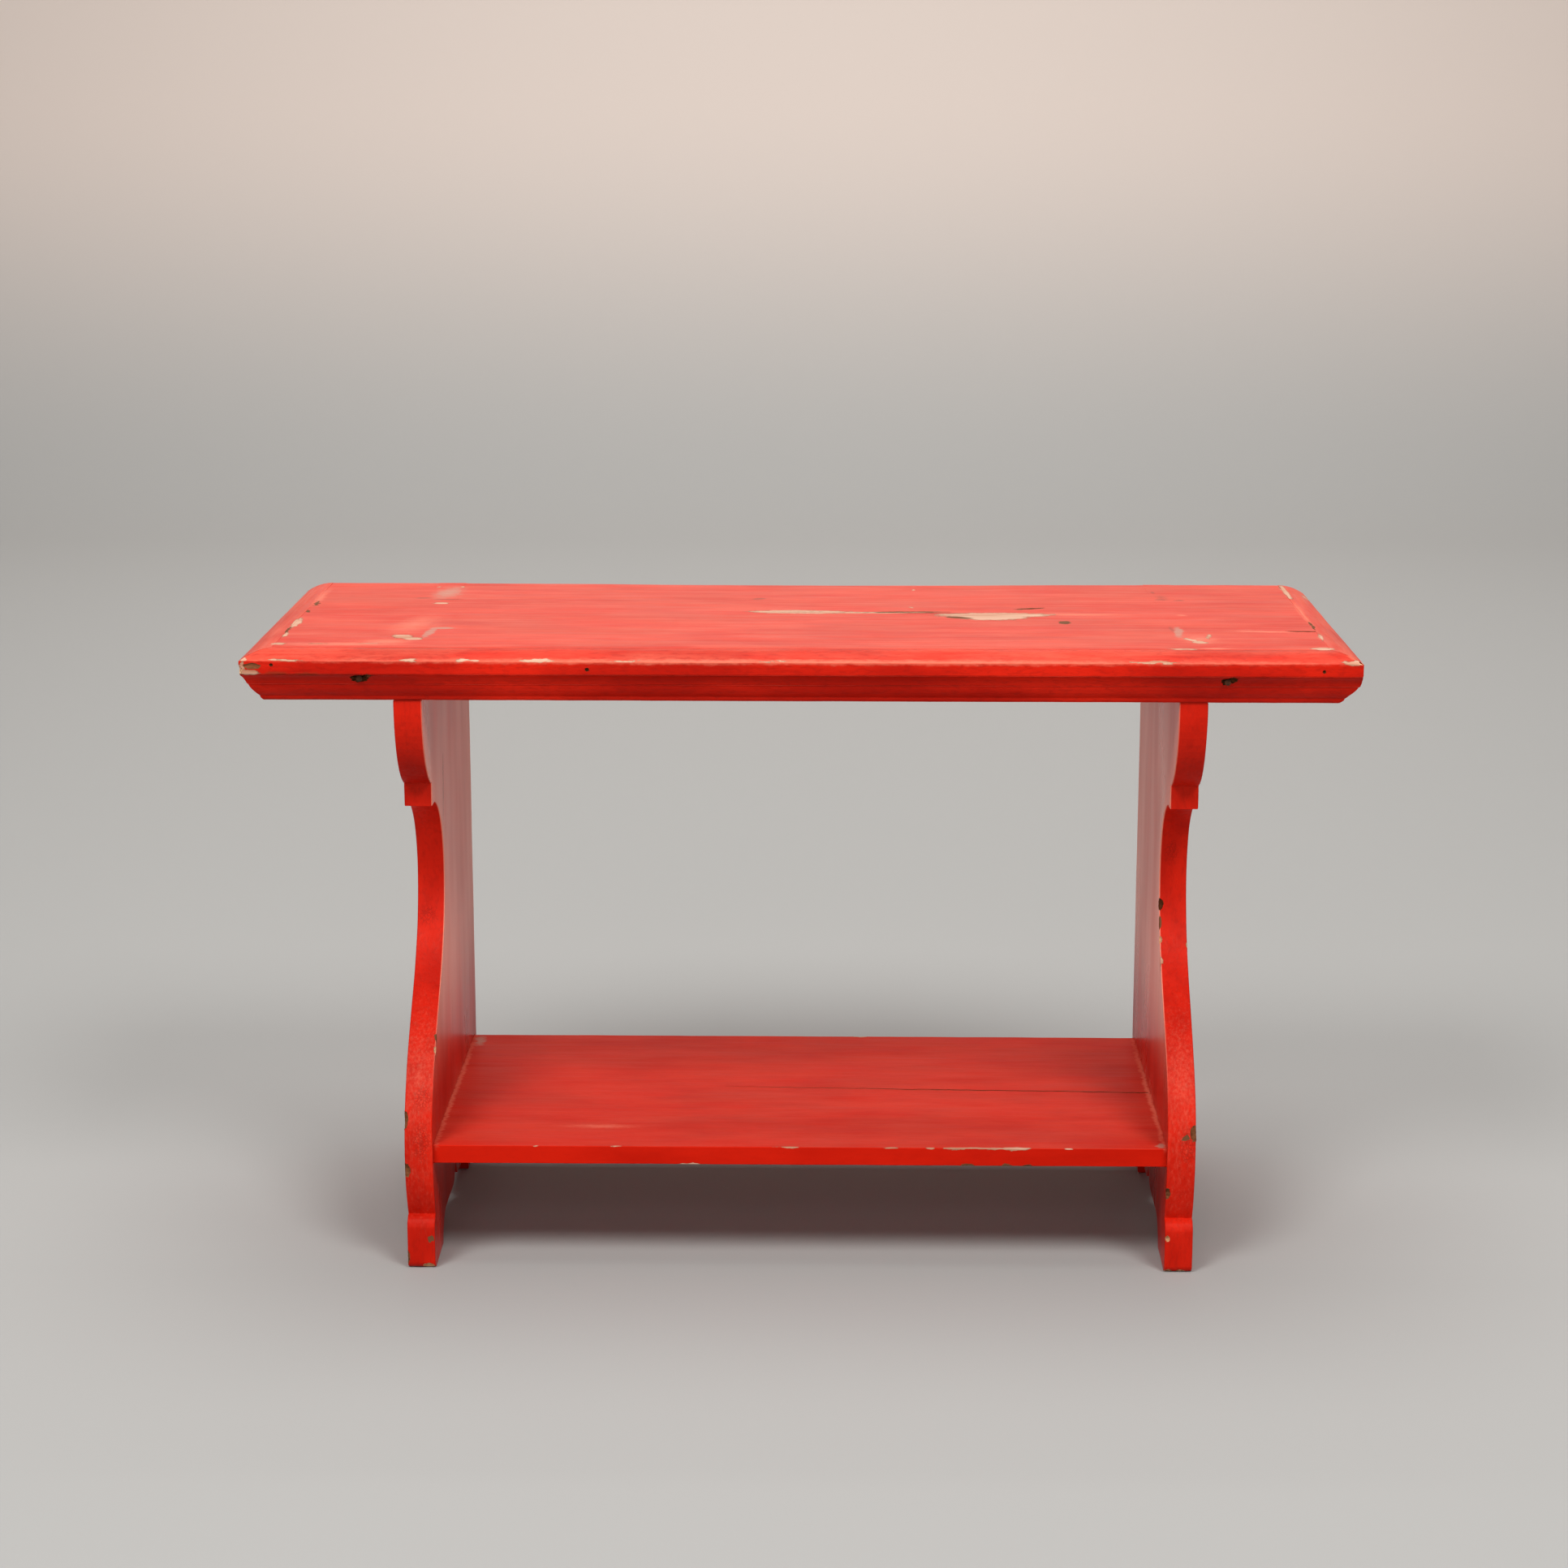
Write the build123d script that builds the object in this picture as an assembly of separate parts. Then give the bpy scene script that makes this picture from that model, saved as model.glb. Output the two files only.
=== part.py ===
from build123d import *
import os

# A rustic bucket bench: a plank top edged with a mitred moulding, two scroll-sawn end boards
# whose tenons pass through the plank, and one low shelf housed between the end boards.
#
# Millimetres, +Z up. The origin is on the floor under the middle of the top. X runs along the
# bench, the moulded front faces -Y, and the top's back edge is flush with the end boards.

# ---- Top ----
TOP_LENGTH = 888.0  # over the end mouldings
TOP_DEPTH = 347.0  # nose of the front moulding to the back edge
BENCH_HEIGHT = 523.0
TOP_THICKNESS = 42.0

# ---- Edge moulding, from its top down; a width is measured back from the nose ----
MOULDING_WIDTH = 23.0
ARRIS_DROP = 7.0  # fall of the rounded top from the plank's seam to the arris
ARRIS_ROUND = 1.0
ARRIS_WIDTH = 0.8
QUIRK_HEIGHT = 1.0
QUIRK_WIDTH = 1.2
OVOLO_HEIGHT = 8.2
OVOLO_WIDTH = 6.0
OVOLO_BULGE = 1.0  # how far the round stands out from its chord
STEP_HEIGHT = 1.3
STEP_WIDTH = 1.0
COVE_HEIGHT = 9.5
COVE_WIDTH = 6.5
COVE_HOLLOW = 0.8  # how far the hollow lies behind its chord
UNDER_ROUND_HEIGHT = 4.0
UNDER_ROUND_WIDTH = 1.8

# ---- End boards; a setback is measured back from the belly, the foremost part ----
END_OVERHANG = 119.0  # from the end of the top to an end board's outer face
END_BOARD_THICKNESS = 23.5
BELLY_SETBACK = 16.0  # belly behind the moulding's nose
BELLY_HEIGHT = 100.0
TOE_SETBACK = 3.0
TOE_HEIGHT = 34.0
SOLE_ROUND = 6.0
CREASE_SETBACK = 12.0
CREASE_HEIGHT = 45.0
HOLLOW_SETBACK = 125.5  # deepest point of the front's long hollow
HOLLOW_DROP = 169.0  # drops are measured from the top's underside
SWEEP_EASE = 0.46  # share of the sweep's height that each of its ends runs nearly upright
LEDGE_SETBACK = 70.0
LEDGE_DROP = 99.0
FILLET_SETBACK = 54.0
FILLET_HEIGHT = 20.0
BRACKET_SETBACK = 51.0  # foot of the round bracket above the fillet
NECK_SETBACK = 2.0
NECK_HEIGHT = 6.0

# ---- Feet, cut out of each end board by an arch shaped like a brace ----
FRONT_FOOT_WIDTH = 59.0  # from the belly's line to the arch
REAR_FOOT_WIDTH = 82.0
ARCH_RADIUS = 25.0
CUSP_RADIUS = 20.0

# ---- Through tenons ----
FRONT_TENON_SETBACK = 34.0  # behind the seam of the front moulding
FRONT_TENON_WIDTH = 60.0
REAR_TENON_WIDTH = 96.0  # its mortise is open at the plank's back edge
MORTISE_CLEARANCE = 0.3

# ---- Shelf ----
SHELF_HEIGHT = 107.0  # floor to the shelf's upper face
SHELF_THICKNESS = 16.0
SHELF_FRONT_SETBACK = 5.7  # behind the belly
SHELF_BACK_SETBACK = 14.0  # short of the end boards' back edge
HOUSING_DEPTH = 6.0
HOUSING_CLEARANCE = 0.3

# ---- Nails ----
NAIL_LENGTH = 40.0
NAIL_DIAMETER = 2.8
NAIL_HEAD_DIAMETER = 5.0
NAIL_HEAD_HEIGHT = 1.2
NAIL_CLEARANCE = 0.3
MOULDING_NAIL_SINK = 4.0  # outer face of the head behind the moulding's nose
SHELF_NAIL_SINK = 1.0
# Each front nail: the end it is near (-1 left, 1 right), its inset from that end, its drop.
FRONT_NAILS = ((-1, 27.0, 11.0), (-1, 95.0, 22.0), (1, 106.0, 23.0), (1, 33.0, 15.0))
END_NAIL_COUNT = 2
END_NAIL_DROP = 22.0
END_NAIL_FRONT_INSET = 62.0
END_NAIL_BACK_INSET = 28.0
SHELF_NAIL_COUNT = 3
SHELF_NAIL_INSET = 42.0

# ---- Places that follow from the sizes above ----
UNDERSIDE = BENCH_HEIGHT - TOP_THICKNESS
END_X = TOP_LENGTH / 2
NOSE_Y = -TOP_DEPTH / 2
BACK_Y = TOP_DEPTH / 2
PLANK_END_X = END_X - MOULDING_WIDTH
PLANK_FRONT_Y = NOSE_Y + MOULDING_WIDTH
BELLY_Y = NOSE_Y + BELLY_SETBACK
END_BOARD_DEPTH = BACK_Y - BELLY_Y
OUTER_FACE_X = END_X - END_OVERHANG
INNER_FACE_X = OUTER_FACE_X - END_BOARD_THICKNESS
FRONT_TENON_Y = PLANK_FRONT_Y + FRONT_TENON_SETBACK
REAR_TENON_Y = BACK_Y - REAR_TENON_WIDTH
SHELF_UNDERSIDE = SHELF_HEIGHT - SHELF_THICKNESS
SHELF_FRONT_Y = BELLY_Y + SHELF_FRONT_SETBACK
SHELF_BACK_Y = BACK_Y - SHELF_BACK_SETBACK
HOUSING_X = INNER_FACE_X + HOUSING_DEPTH

UP = (0, 1)
DOWN = (0, -1)
BACKWARD = (1, 0)
FORWARD = (-1, 0)
ON_BASE = (Align.CENTER, Align.CENTER, Align.MIN)
BELOW_TOP = (Align.CENTER, Align.CENTER, Align.MAX)


def box_between(low, high):
    """A box from its lowest to its highest corner."""
    low, high = Vector(*low), Vector(*high)
    size = high - low
    return Pos(*((low + high) * 0.5)) * Box(size.X, size.Y, size.Z)


def side_plane(x, y):
    """A plane across the bench, with its own X running back from y and its own Y upwards."""
    return Plane(origin=(x, y, 0), x_dir=(0, 1, 0), z_dir=(1, 0, 0))


def evenly_spaced(first, last, count):
    """Places from first to last, all the same distance apart."""
    step = (last - first) / (count - 1)
    return [first + step * i for i in range(count)]


def mirrored(solid):
    """The right-hand twin of a left-hand piece."""
    return mirror(solid, about=Plane.YZ)


# ---- Nails ----


def nail():
    """A nail along its own +Z, with the outer face of its head at the origin."""
    head = Cylinder(NAIL_HEAD_DIAMETER / 2, NAIL_HEAD_HEIGHT, align=ON_BASE)
    shank = Cylinder(NAIL_DIAMETER / 2, NAIL_LENGTH, align=ON_BASE)
    return head + shank


def nail_hole(sink):
    """The room for a nail: a bore round its shank and a wider one that ends under its head."""
    seat = Pos(0, 0, NAIL_HEAD_HEIGHT)
    bore_length = NAIL_LENGTH - NAIL_HEAD_HEIGHT + NAIL_CLEARANCE
    bore = Cylinder(NAIL_DIAMETER / 2 + NAIL_CLEARANCE, bore_length, align=ON_BASE)
    well_length = NAIL_HEAD_HEIGHT + sink + NAIL_CLEARANCE
    well = Cylinder(NAIL_HEAD_DIAMETER / 2 + NAIL_CLEARANCE, well_length, align=BELOW_TOP)
    return seat * bore + seat * well


def front_nail_places():
    """The nails driven backwards through the front moulding."""
    head_y = NOSE_Y + MOULDING_NAIL_SINK
    return [
        Plane(origin=(side * (END_X - inset), head_y, BENCH_HEIGHT - drop), z_dir=(0, 1, 0)).location
        for side, inset, drop in FRONT_NAILS
    ]


def left_end_nail_places():
    """The nails driven inwards through the left end moulding."""
    head_x = -END_X + MOULDING_NAIL_SINK
    ys = evenly_spaced(NOSE_Y + END_NAIL_FRONT_INSET, BACK_Y - END_NAIL_BACK_INSET, END_NAIL_COUNT)
    height = BENCH_HEIGHT - END_NAIL_DROP
    return [Plane(origin=(head_x, y, height), z_dir=(1, 0, 0)).location for y in ys]


def left_shelf_nail_places():
    """The nails driven inwards through the left end board into the shelf's end."""
    head_x = -OUTER_FACE_X + SHELF_NAIL_SINK
    ys = evenly_spaced(SHELF_FRONT_Y + SHELF_NAIL_INSET, SHELF_BACK_Y - SHELF_NAIL_INSET, SHELF_NAIL_COUNT)
    height = SHELF_UNDERSIDE + SHELF_THICKNESS / 2
    return [Plane(origin=(head_x, y, height), z_dir=(1, 0, 0)).location for y in ys]


def nails_at(places):
    """One loose nail at each place."""
    return [place * nail() for place in places]


def without_nail_holes(solid, places, sink):
    """A piece with the room for each nail cut out of it."""
    for place in places:
        solid -= place * nail_hole(sink)
    return solid


# ---- Top ----


def moulding_section():
    """The moulding's section: rounded top, nose, quirk, ovolo, step, cove and rounded foot."""
    arris = BENCH_HEIGHT - ARRIS_DROP
    cove_foot = UNDERSIDE + UNDER_ROUND_HEIGHT
    cove_head = cove_foot + COVE_HEIGHT
    ovolo_foot = cove_head + STEP_HEIGHT
    ovolo_head = ovolo_foot + OVOLO_HEIGHT
    nose_foot = ovolo_head + QUIRK_HEIGHT
    ovolo_foot_in = QUIRK_WIDTH + OVOLO_WIDTH
    cove_head_in = ovolo_foot_in + STEP_WIDTH
    cove_foot_in = cove_head_in + COVE_WIDTH
    underside_in = cove_foot_in + UNDER_ROUND_WIDTH
    seam_top = (MOULDING_WIDTH, BENCH_HEIGHT)
    nose_head = (0, arris - ARRIS_ROUND)
    edges = [
        TangentArc(seam_top, (ARRIS_WIDTH, arris), tangent=FORWARD),
        TangentArc(nose_head, (ARRIS_WIDTH, arris), tangent=UP),
        Polyline(nose_head, (0, nose_foot), (QUIRK_WIDTH, nose_foot), (QUIRK_WIDTH, ovolo_head)),
        SagittaArc((QUIRK_WIDTH, ovolo_head), (ovolo_foot_in, ovolo_foot), OVOLO_BULGE),
        Polyline((ovolo_foot_in, ovolo_foot), (cove_head_in, ovolo_foot), (cove_head_in, cove_head)),
        SagittaArc((cove_head_in, cove_head), (cove_foot_in, cove_foot), -COVE_HOLLOW),
        TangentArc((cove_foot_in, cove_foot), (underside_in, UNDERSIDE), tangent=DOWN),
        Polyline((underside_in, UNDERSIDE), (MOULDING_WIDTH, UNDERSIDE), seam_top),
    ]
    return make_face(edges)


def left_mitre():
    """The upright plane through the left front corner at 45 degrees, facing the front moulding."""
    return Plane(origin=(-END_X, NOSE_Y, 0), z_dir=(1, -1, 0))


def right_mitre():
    """The left mitre's twin at the right front corner."""
    return Plane(origin=(END_X, NOSE_Y, 0), z_dir=(-1, -1, 0))


def front_moulding():
    """The moulding along the front, mitred at both ends."""
    solid = extrude(side_plane(-END_X, NOSE_Y) * moulding_section(), TOP_LENGTH)
    solid = split(solid, bisect_by=left_mitre(), keep=Keep.TOP)
    solid = split(solid, bisect_by=right_mitre(), keep=Keep.TOP)
    return without_nail_holes(solid, front_nail_places(), MOULDING_NAIL_SINK)


def left_end_moulding():
    """The moulding across the left end, mitred at the front and cut square at the back."""
    plane = Plane(origin=(-END_X, BACK_Y, 0), x_dir=(1, 0, 0), z_dir=(0, -1, 0))
    solid = extrude(plane * moulding_section(), TOP_DEPTH)
    solid = split(solid, bisect_by=left_mitre(), keep=Keep.BOTTOM)
    return without_nail_holes(solid, left_end_nail_places(), MOULDING_NAIL_SINK)


def left_mortise(front, back):
    """The hole for one tenon of the left end board, right through the plank."""
    return box_between(
        (-OUTER_FACE_X - MORTISE_CLEARANCE, front, UNDERSIDE),
        (-INNER_FACE_X + MORTISE_CLEARANCE, back, BENCH_HEIGHT),
    )


def top_board():
    """The plank inside the moulding, with two mortises over each end board."""
    solid = box_between((-PLANK_END_X, PLANK_FRONT_Y, UNDERSIDE), (PLANK_END_X, BACK_Y, BENCH_HEIGHT))
    front_mortise = left_mortise(
        FRONT_TENON_Y - MORTISE_CLEARANCE,
        FRONT_TENON_Y + FRONT_TENON_WIDTH + MORTISE_CLEARANCE,
    )
    rear_mortise = left_mortise(REAR_TENON_Y - MORTISE_CLEARANCE, BACK_Y)
    for mortise in (front_mortise, rear_mortise):
        solid -= mortise
        solid -= mirrored(mortise)
    solid = without_nail_holes(solid, front_nail_places(), MOULDING_NAIL_SINK)
    for place in left_end_nail_places():
        hole = place * nail_hole(MOULDING_NAIL_SINK)
        solid -= hole
        solid -= mirrored(hole)
    return solid


# ---- End boards ----


def scrolled_front():
    """The front edge from the sole up: toe, crease, belly, hollow, ledge, fillet and bracket."""
    toe = (TOE_SETBACK, TOE_HEIGHT)
    toe_foot = (TOE_SETBACK, SOLE_ROUND)
    sole = (TOE_SETBACK + SOLE_ROUND, 0)
    crease = (CREASE_SETBACK, CREASE_HEIGHT)
    belly = (0, BELLY_HEIGHT)
    hollow = (HOLLOW_SETBACK, UNDERSIDE - HOLLOW_DROP)
    ease = SWEEP_EASE * (hollow[1] - belly[1])
    ledge_height = UNDERSIDE - LEDGE_DROP
    ledge = (LEDGE_SETBACK, ledge_height)
    fillet_head = ledge_height + FILLET_HEIGHT
    neck = (NECK_SETBACK, UNDERSIDE - NECK_HEIGHT)
    bracket_foot = (BRACKET_SETBACK, fillet_head)
    return [
        TangentArc(toe_foot, sole, tangent=DOWN),
        Line(toe_foot, toe),
        TangentArc(toe, crease, tangent=UP),
        TangentArc(belly, crease, tangent=DOWN),
        Bezier(belly, (0, belly[1] + ease), (HOLLOW_SETBACK, hollow[1] - ease), hollow),
        TangentArc(hollow, ledge, tangent=UP),
        Polyline(ledge, (FILLET_SETBACK, ledge_height), (FILLET_SETBACK, fillet_head), bracket_foot),
        TangentArc(neck, bracket_foot, tangent=DOWN),
        Line(neck, (NECK_SETBACK, UNDERSIDE)),
    ]


def tenons_and_back():
    """The top edge with its two tenons, the straight back edge and the rear foot's sole."""
    front_tenon = FRONT_TENON_Y - BELLY_Y
    rear_tenon = REAR_TENON_Y - BELLY_Y
    return Polyline(
        (NECK_SETBACK, UNDERSIDE),
        (front_tenon, UNDERSIDE),
        (front_tenon, BENCH_HEIGHT),
        (front_tenon + FRONT_TENON_WIDTH, BENCH_HEIGHT),
        (front_tenon + FRONT_TENON_WIDTH, UNDERSIDE),
        (rear_tenon, UNDERSIDE),
        (rear_tenon, BENCH_HEIGHT),
        (END_BOARD_DEPTH, BENCH_HEIGHT),
        (END_BOARD_DEPTH, 0),
        (END_BOARD_DEPTH - REAR_FOOT_WIDTH, 0),
    )


def foot_arch():
    """The arch between the feet: round shoulders, two flats and a pointed cusp between them."""
    front = FRONT_FOOT_WIDTH
    back = END_BOARD_DEPTH - REAR_FOOT_WIDTH
    middle = (front + back) / 2
    cusp = (middle, ARCH_RADIUS + CUSP_RADIUS)
    return [
        TangentArc((back, 0), (back - ARCH_RADIUS, ARCH_RADIUS), tangent=UP),
        Line((back - ARCH_RADIUS, ARCH_RADIUS), (middle + CUSP_RADIUS, ARCH_RADIUS)),
        TangentArc((middle + CUSP_RADIUS, ARCH_RADIUS), cusp, tangent=FORWARD),
        TangentArc((middle - CUSP_RADIUS, ARCH_RADIUS), cusp, tangent=BACKWARD),
        Line((middle - CUSP_RADIUS, ARCH_RADIUS), (front + ARCH_RADIUS, ARCH_RADIUS)),
        TangentArc((front, 0), (front + ARCH_RADIUS, ARCH_RADIUS), tangent=UP),
    ]


def left_housing():
    """The stopped groove in the left end board's inner face that the shelf's end sits in."""
    return box_between(
        (-HOUSING_X, SHELF_FRONT_Y - HOUSING_CLEARANCE, SHELF_UNDERSIDE),
        (-INNER_FACE_X, SHELF_BACK_Y + HOUSING_CLEARANCE, SHELF_HEIGHT + HOUSING_CLEARANCE),
    )


def left_end_board():
    """The left end board: scrolled outline, foot arch, tenons, shelf housing and nail holes."""
    front_sole = Line((FRONT_FOOT_WIDTH, 0), (TOE_SETBACK + SOLE_ROUND, 0))
    outline = make_face([*scrolled_front(), tenons_and_back(), *foot_arch(), front_sole])
    solid = extrude(side_plane(-OUTER_FACE_X, BELLY_Y) * outline, END_BOARD_THICKNESS)
    solid -= left_housing()
    return without_nail_holes(solid, left_shelf_nail_places(), SHELF_NAIL_SINK)


# ---- Shelf ----


def shelf_board():
    """The shelf, whose ends reach into the housings."""
    end_x = HOUSING_X - HOUSING_CLEARANCE
    solid = box_between((-end_x, SHELF_FRONT_Y, SHELF_UNDERSIDE), (end_x, SHELF_BACK_Y, SHELF_HEIGHT))
    for place in left_shelf_nail_places():
        hole = place * nail_hole(SHELF_NAIL_SINK)
        solid -= hole
        solid -= mirrored(hole)
    return solid


def bench_nodes():
    """Every node of the bench by name: one solid each, or one group of nails."""
    end_moulding = left_end_moulding()
    end_board = left_end_board()
    front_nails = nails_at(front_nail_places())
    end_nails = nails_at(left_end_nail_places())
    shelf_nails = nails_at(left_shelf_nail_places())
    return {
        "top_board": top_board(),
        "front_moulding": front_moulding(),
        "left_end_moulding": end_moulding,
        "right_end_moulding": mirrored(end_moulding),
        "left_end_board": end_board,
        "right_end_board": mirrored(end_board),
        "shelf_board": shelf_board(),
        "front_moulding_nails": Compound(children=front_nails),
        "left_moulding_nails": Compound(children=end_nails),
        "right_moulding_nails": Compound(children=[mirrored(one) for one in end_nails]),
        "left_shelf_nails": Compound(children=shelf_nails),
        "right_shelf_nails": Compound(children=[mirrored(one) for one in shelf_nails]),
    }


def main():
    """Write each node to its own STEP file."""
    os.makedirs("parts", exist_ok=True)
    for name, solid in bench_nodes().items():
        export_step(solid, f"parts/{name}.step")


main()
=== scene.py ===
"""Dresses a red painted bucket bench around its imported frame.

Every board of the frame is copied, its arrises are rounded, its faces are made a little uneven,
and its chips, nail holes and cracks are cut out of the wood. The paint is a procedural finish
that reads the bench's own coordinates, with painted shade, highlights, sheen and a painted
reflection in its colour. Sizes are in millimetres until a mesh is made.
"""

import logging
import math
import random
from dataclasses import dataclass
from enum import Enum
from functools import cache
from typing import Callable

import bpy
import numpy as np
from bpy.types import Material, Node, NodeSocket, Object
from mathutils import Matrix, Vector


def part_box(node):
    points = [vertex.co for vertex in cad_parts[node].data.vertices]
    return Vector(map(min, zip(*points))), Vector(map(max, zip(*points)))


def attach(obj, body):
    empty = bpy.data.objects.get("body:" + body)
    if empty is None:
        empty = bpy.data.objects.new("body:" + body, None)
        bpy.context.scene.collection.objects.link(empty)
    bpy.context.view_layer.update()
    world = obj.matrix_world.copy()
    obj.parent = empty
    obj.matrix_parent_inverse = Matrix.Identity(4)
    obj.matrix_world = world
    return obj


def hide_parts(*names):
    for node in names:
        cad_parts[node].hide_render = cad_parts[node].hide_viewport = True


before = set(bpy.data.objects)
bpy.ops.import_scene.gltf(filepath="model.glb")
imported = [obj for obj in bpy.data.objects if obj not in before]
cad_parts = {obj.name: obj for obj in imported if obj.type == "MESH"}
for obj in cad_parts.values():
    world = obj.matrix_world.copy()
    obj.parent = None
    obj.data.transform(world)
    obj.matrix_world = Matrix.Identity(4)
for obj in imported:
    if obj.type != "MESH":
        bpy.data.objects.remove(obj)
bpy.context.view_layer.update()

LOG = logging.getLogger("bucket_bench")
MM = 0.001
ROOT_BODY = "root"
PAINT_NAME = "red_paint_{}"
ARRIS = "arris"

Place = tuple[float, float, float]
Colour = tuple[float, float, float, float]
EdgeTest = Callable[[Vector, Vector], bool]


class Side(Enum):
    """The two ends of the bench, as the sign of X."""

    LEFT = -1
    RIGHT = 1


class Axis(Enum):
    """The bench's axes: along it, from front to back, and up."""

    X = 0
    Y = 1
    Z = 2


class Wear(Enum):
    """What has happened to the paint at one place, or the shade or highlight painted on it."""

    BARE = "bare"
    STAINED = "stained"
    # rubbed paint, and painted highlights on arrises and on faces that catch the light
    RUBBED = "rubbed"
    # dirt, and painted shade in recesses such as the quirk under the nose
    GRIME = "grime"
    PUTTY = "putty"
    CRACKLE = "crackle"
    SHADED = "shaded"


Plane = tuple[Axis, float]


# ---------------------------------------------------------------- finishes


class Graph:
    """Short calls for the node tree of one material."""

    def __init__(self, name: str) -> None:
        """Make an empty material.

        Args:
            name: The material's name.
        """
        self.material = bpy.data.materials.new(name)
        self.material.use_nodes = True
        self.tree = self.material.node_tree
        self.tree.nodes.clear()

    def feed(self, socket: NodeSocket, value: object) -> None:
        """Link a socket into an input, or set the input to a plain value.

        Args:
            socket: The input.
            value: An output socket, a number, a tuple, or None to leave the input alone.
        """
        if value is None:
            return
        if isinstance(value, NodeSocket):
            self.tree.links.new(value, socket)
        else:
            socket.default_value = value

    def node(self, kind: str, inputs: dict[str | int, object] | None = None,
             **settings: object) -> Node:
        """Add a node.

        Args:
            kind: The node's type, without the ShaderNode in front.
            inputs: Values or sockets for its inputs, by name or number.
            **settings: Properties of the node.

        Returns:
            The node.
        """
        made = self.tree.nodes.new("ShaderNode" + kind)
        for key, value in settings.items():
            setattr(made, key, value)
        for key, value in (inputs or {}).items():
            self.feed(made.inputs[key], value)
        return made

    def math(self, operation: str, first: object, second: object = None) -> NodeSocket:
        """Return the result of a Math node."""
        return self.node("Math", {0: first, 1: second}, operation=operation).outputs[0]

    def plus(self, first: object, second: object) -> NodeSocket:
        """Return a sum."""
        return self.math("ADD", first, second)

    def less(self, first: object, second: object) -> NodeSocket:
        """Return a difference."""
        return self.math("SUBTRACT", first, second)

    def times(self, first: object, second: object) -> NodeSocket:
        """Return a product."""
        return self.math("MULTIPLY", first, second)

    def vector(self, operation: str, first: object, second: object) -> NodeSocket:
        """Return the result of a Vector Math node."""
        return self.node("VectorMath", {0: first, 1: second}, operation=operation).outputs[0]

    def part(self, vector: object, axis: Axis) -> NodeSocket:
        """Return a vector's length along one axis."""
        return self.node("SeparateXYZ", {0: vector}).outputs[axis.value]

    def span(self, value: object, low: float, high: float, to_low: float = 0.0,
             to_high: float = 1.0) -> NodeSocket:
        """Return a value eased from one range to another, and clamped to it."""
        inputs = {"Value": value, "From Min": low, "From Max": high,
                  "To Min": to_low, "To Max": to_high}
        return self.node("MapRange", inputs, interpolation_type="SMOOTHSTEP").outputs[0]

    def mix(self, share: object, first: object, second: object) -> NodeSocket:
        """Return two colours mixed by a share of the second."""
        return self.node("Mix", {0: share, 6: first, 7: second}, data_type="RGBA").outputs[2]

    def blend(self, share: object, first: object, second: object) -> NodeSocket:
        """Return two numbers mixed by a share of the second."""
        return self.node("Mix", {0: share, 2: first, 3: second}).outputs[0]

    def noise(self, place: object, scale: float, detail: float = 3.0, roughness: float = 0.55,
              output: int = 0) -> NodeSocket:
        """Return noise on a set of coordinates, as a number or, from output 1, a colour."""
        inputs = {"Vector": place, "Scale": scale, "Detail": detail, "Roughness": roughness}
        return self.node("TexNoise", inputs).outputs[output]

    def stretched(self, place: object, grain: Axis, share: float) -> NodeSocket:
        """Return coordinates on which a pattern changes only a share as fast along the grain."""
        scale = [share if axis is grain else 1.0 for axis in Axis]
        return self.node("Mapping", {"Vector": place, "Scale": scale}).outputs[0]

    def finish(self, colour: object, roughness: object, height: object = None,
               depth: float = 0.0004, metallic: float = 0.0, specular: float = 0.5,
               tint: Colour = (1.0, 1.0, 1.0, 1.0)) -> Material:
        """Close the graph with a Principled shader.

        Args:
            colour: The base colour.
            roughness: The roughness.
            height: The bump's height from 0 to 1, or None for a smooth finish.
            depth: What a height of 1 stands for, in metres.
            metallic: The metallic share.
            specular: The specular level.
            tint: The colour of the sheen.

        Returns:
            The material.
        """
        normal = None
        if height is not None:
            bump = self.node("Bump", {"Strength": 1.0, "Distance": depth, "Height": height})
            normal = bump.outputs[0]
        shader = self.node("BsdfPrincipled", {
            "Base Color": colour, "Roughness": roughness, "Metallic": metallic,
            "Specular IOR Level": specular, "Specular Tint": tint, "Normal": normal})
        output = self.node("OutputMaterial")
        self.tree.links.new(shader.outputs[0], output.inputs[0])
        return self.material


@dataclass(frozen=True)
class Spot:
    """A place where the paint is worn or dirty, or carries painted shade or highlight, as an ellipsoid
    in the bench's frame.

    Attributes:
        wear: What shows there.
        centre: Its middle, in millimetres.
        half: Its half sizes, in millimetres.
        turn: Its turn about Z, in degrees.
        share: How strong it is, from 0 to 1.
    """

    wear: Wear
    centre: Place
    half: Place
    turn: float = 0.0
    share: float = 1.0

    def near(self, low: Vector, high: Vector) -> bool:
        """Return whether the spot reaches into a box given in metres."""
        reach = (max(self.half[:2]),) * 3 if self.turn else self.half
        return all(low[i] - reach[i] * MM <= self.centre[i] * MM <= high[i] + reach[i] * MM
                   for i in range(3))


SPOT_REACH = 1.4  # how much larger a spot's field is than the spot
SPOT_EDGE = 0.286  # what the field is worth on the spot's outline


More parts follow.
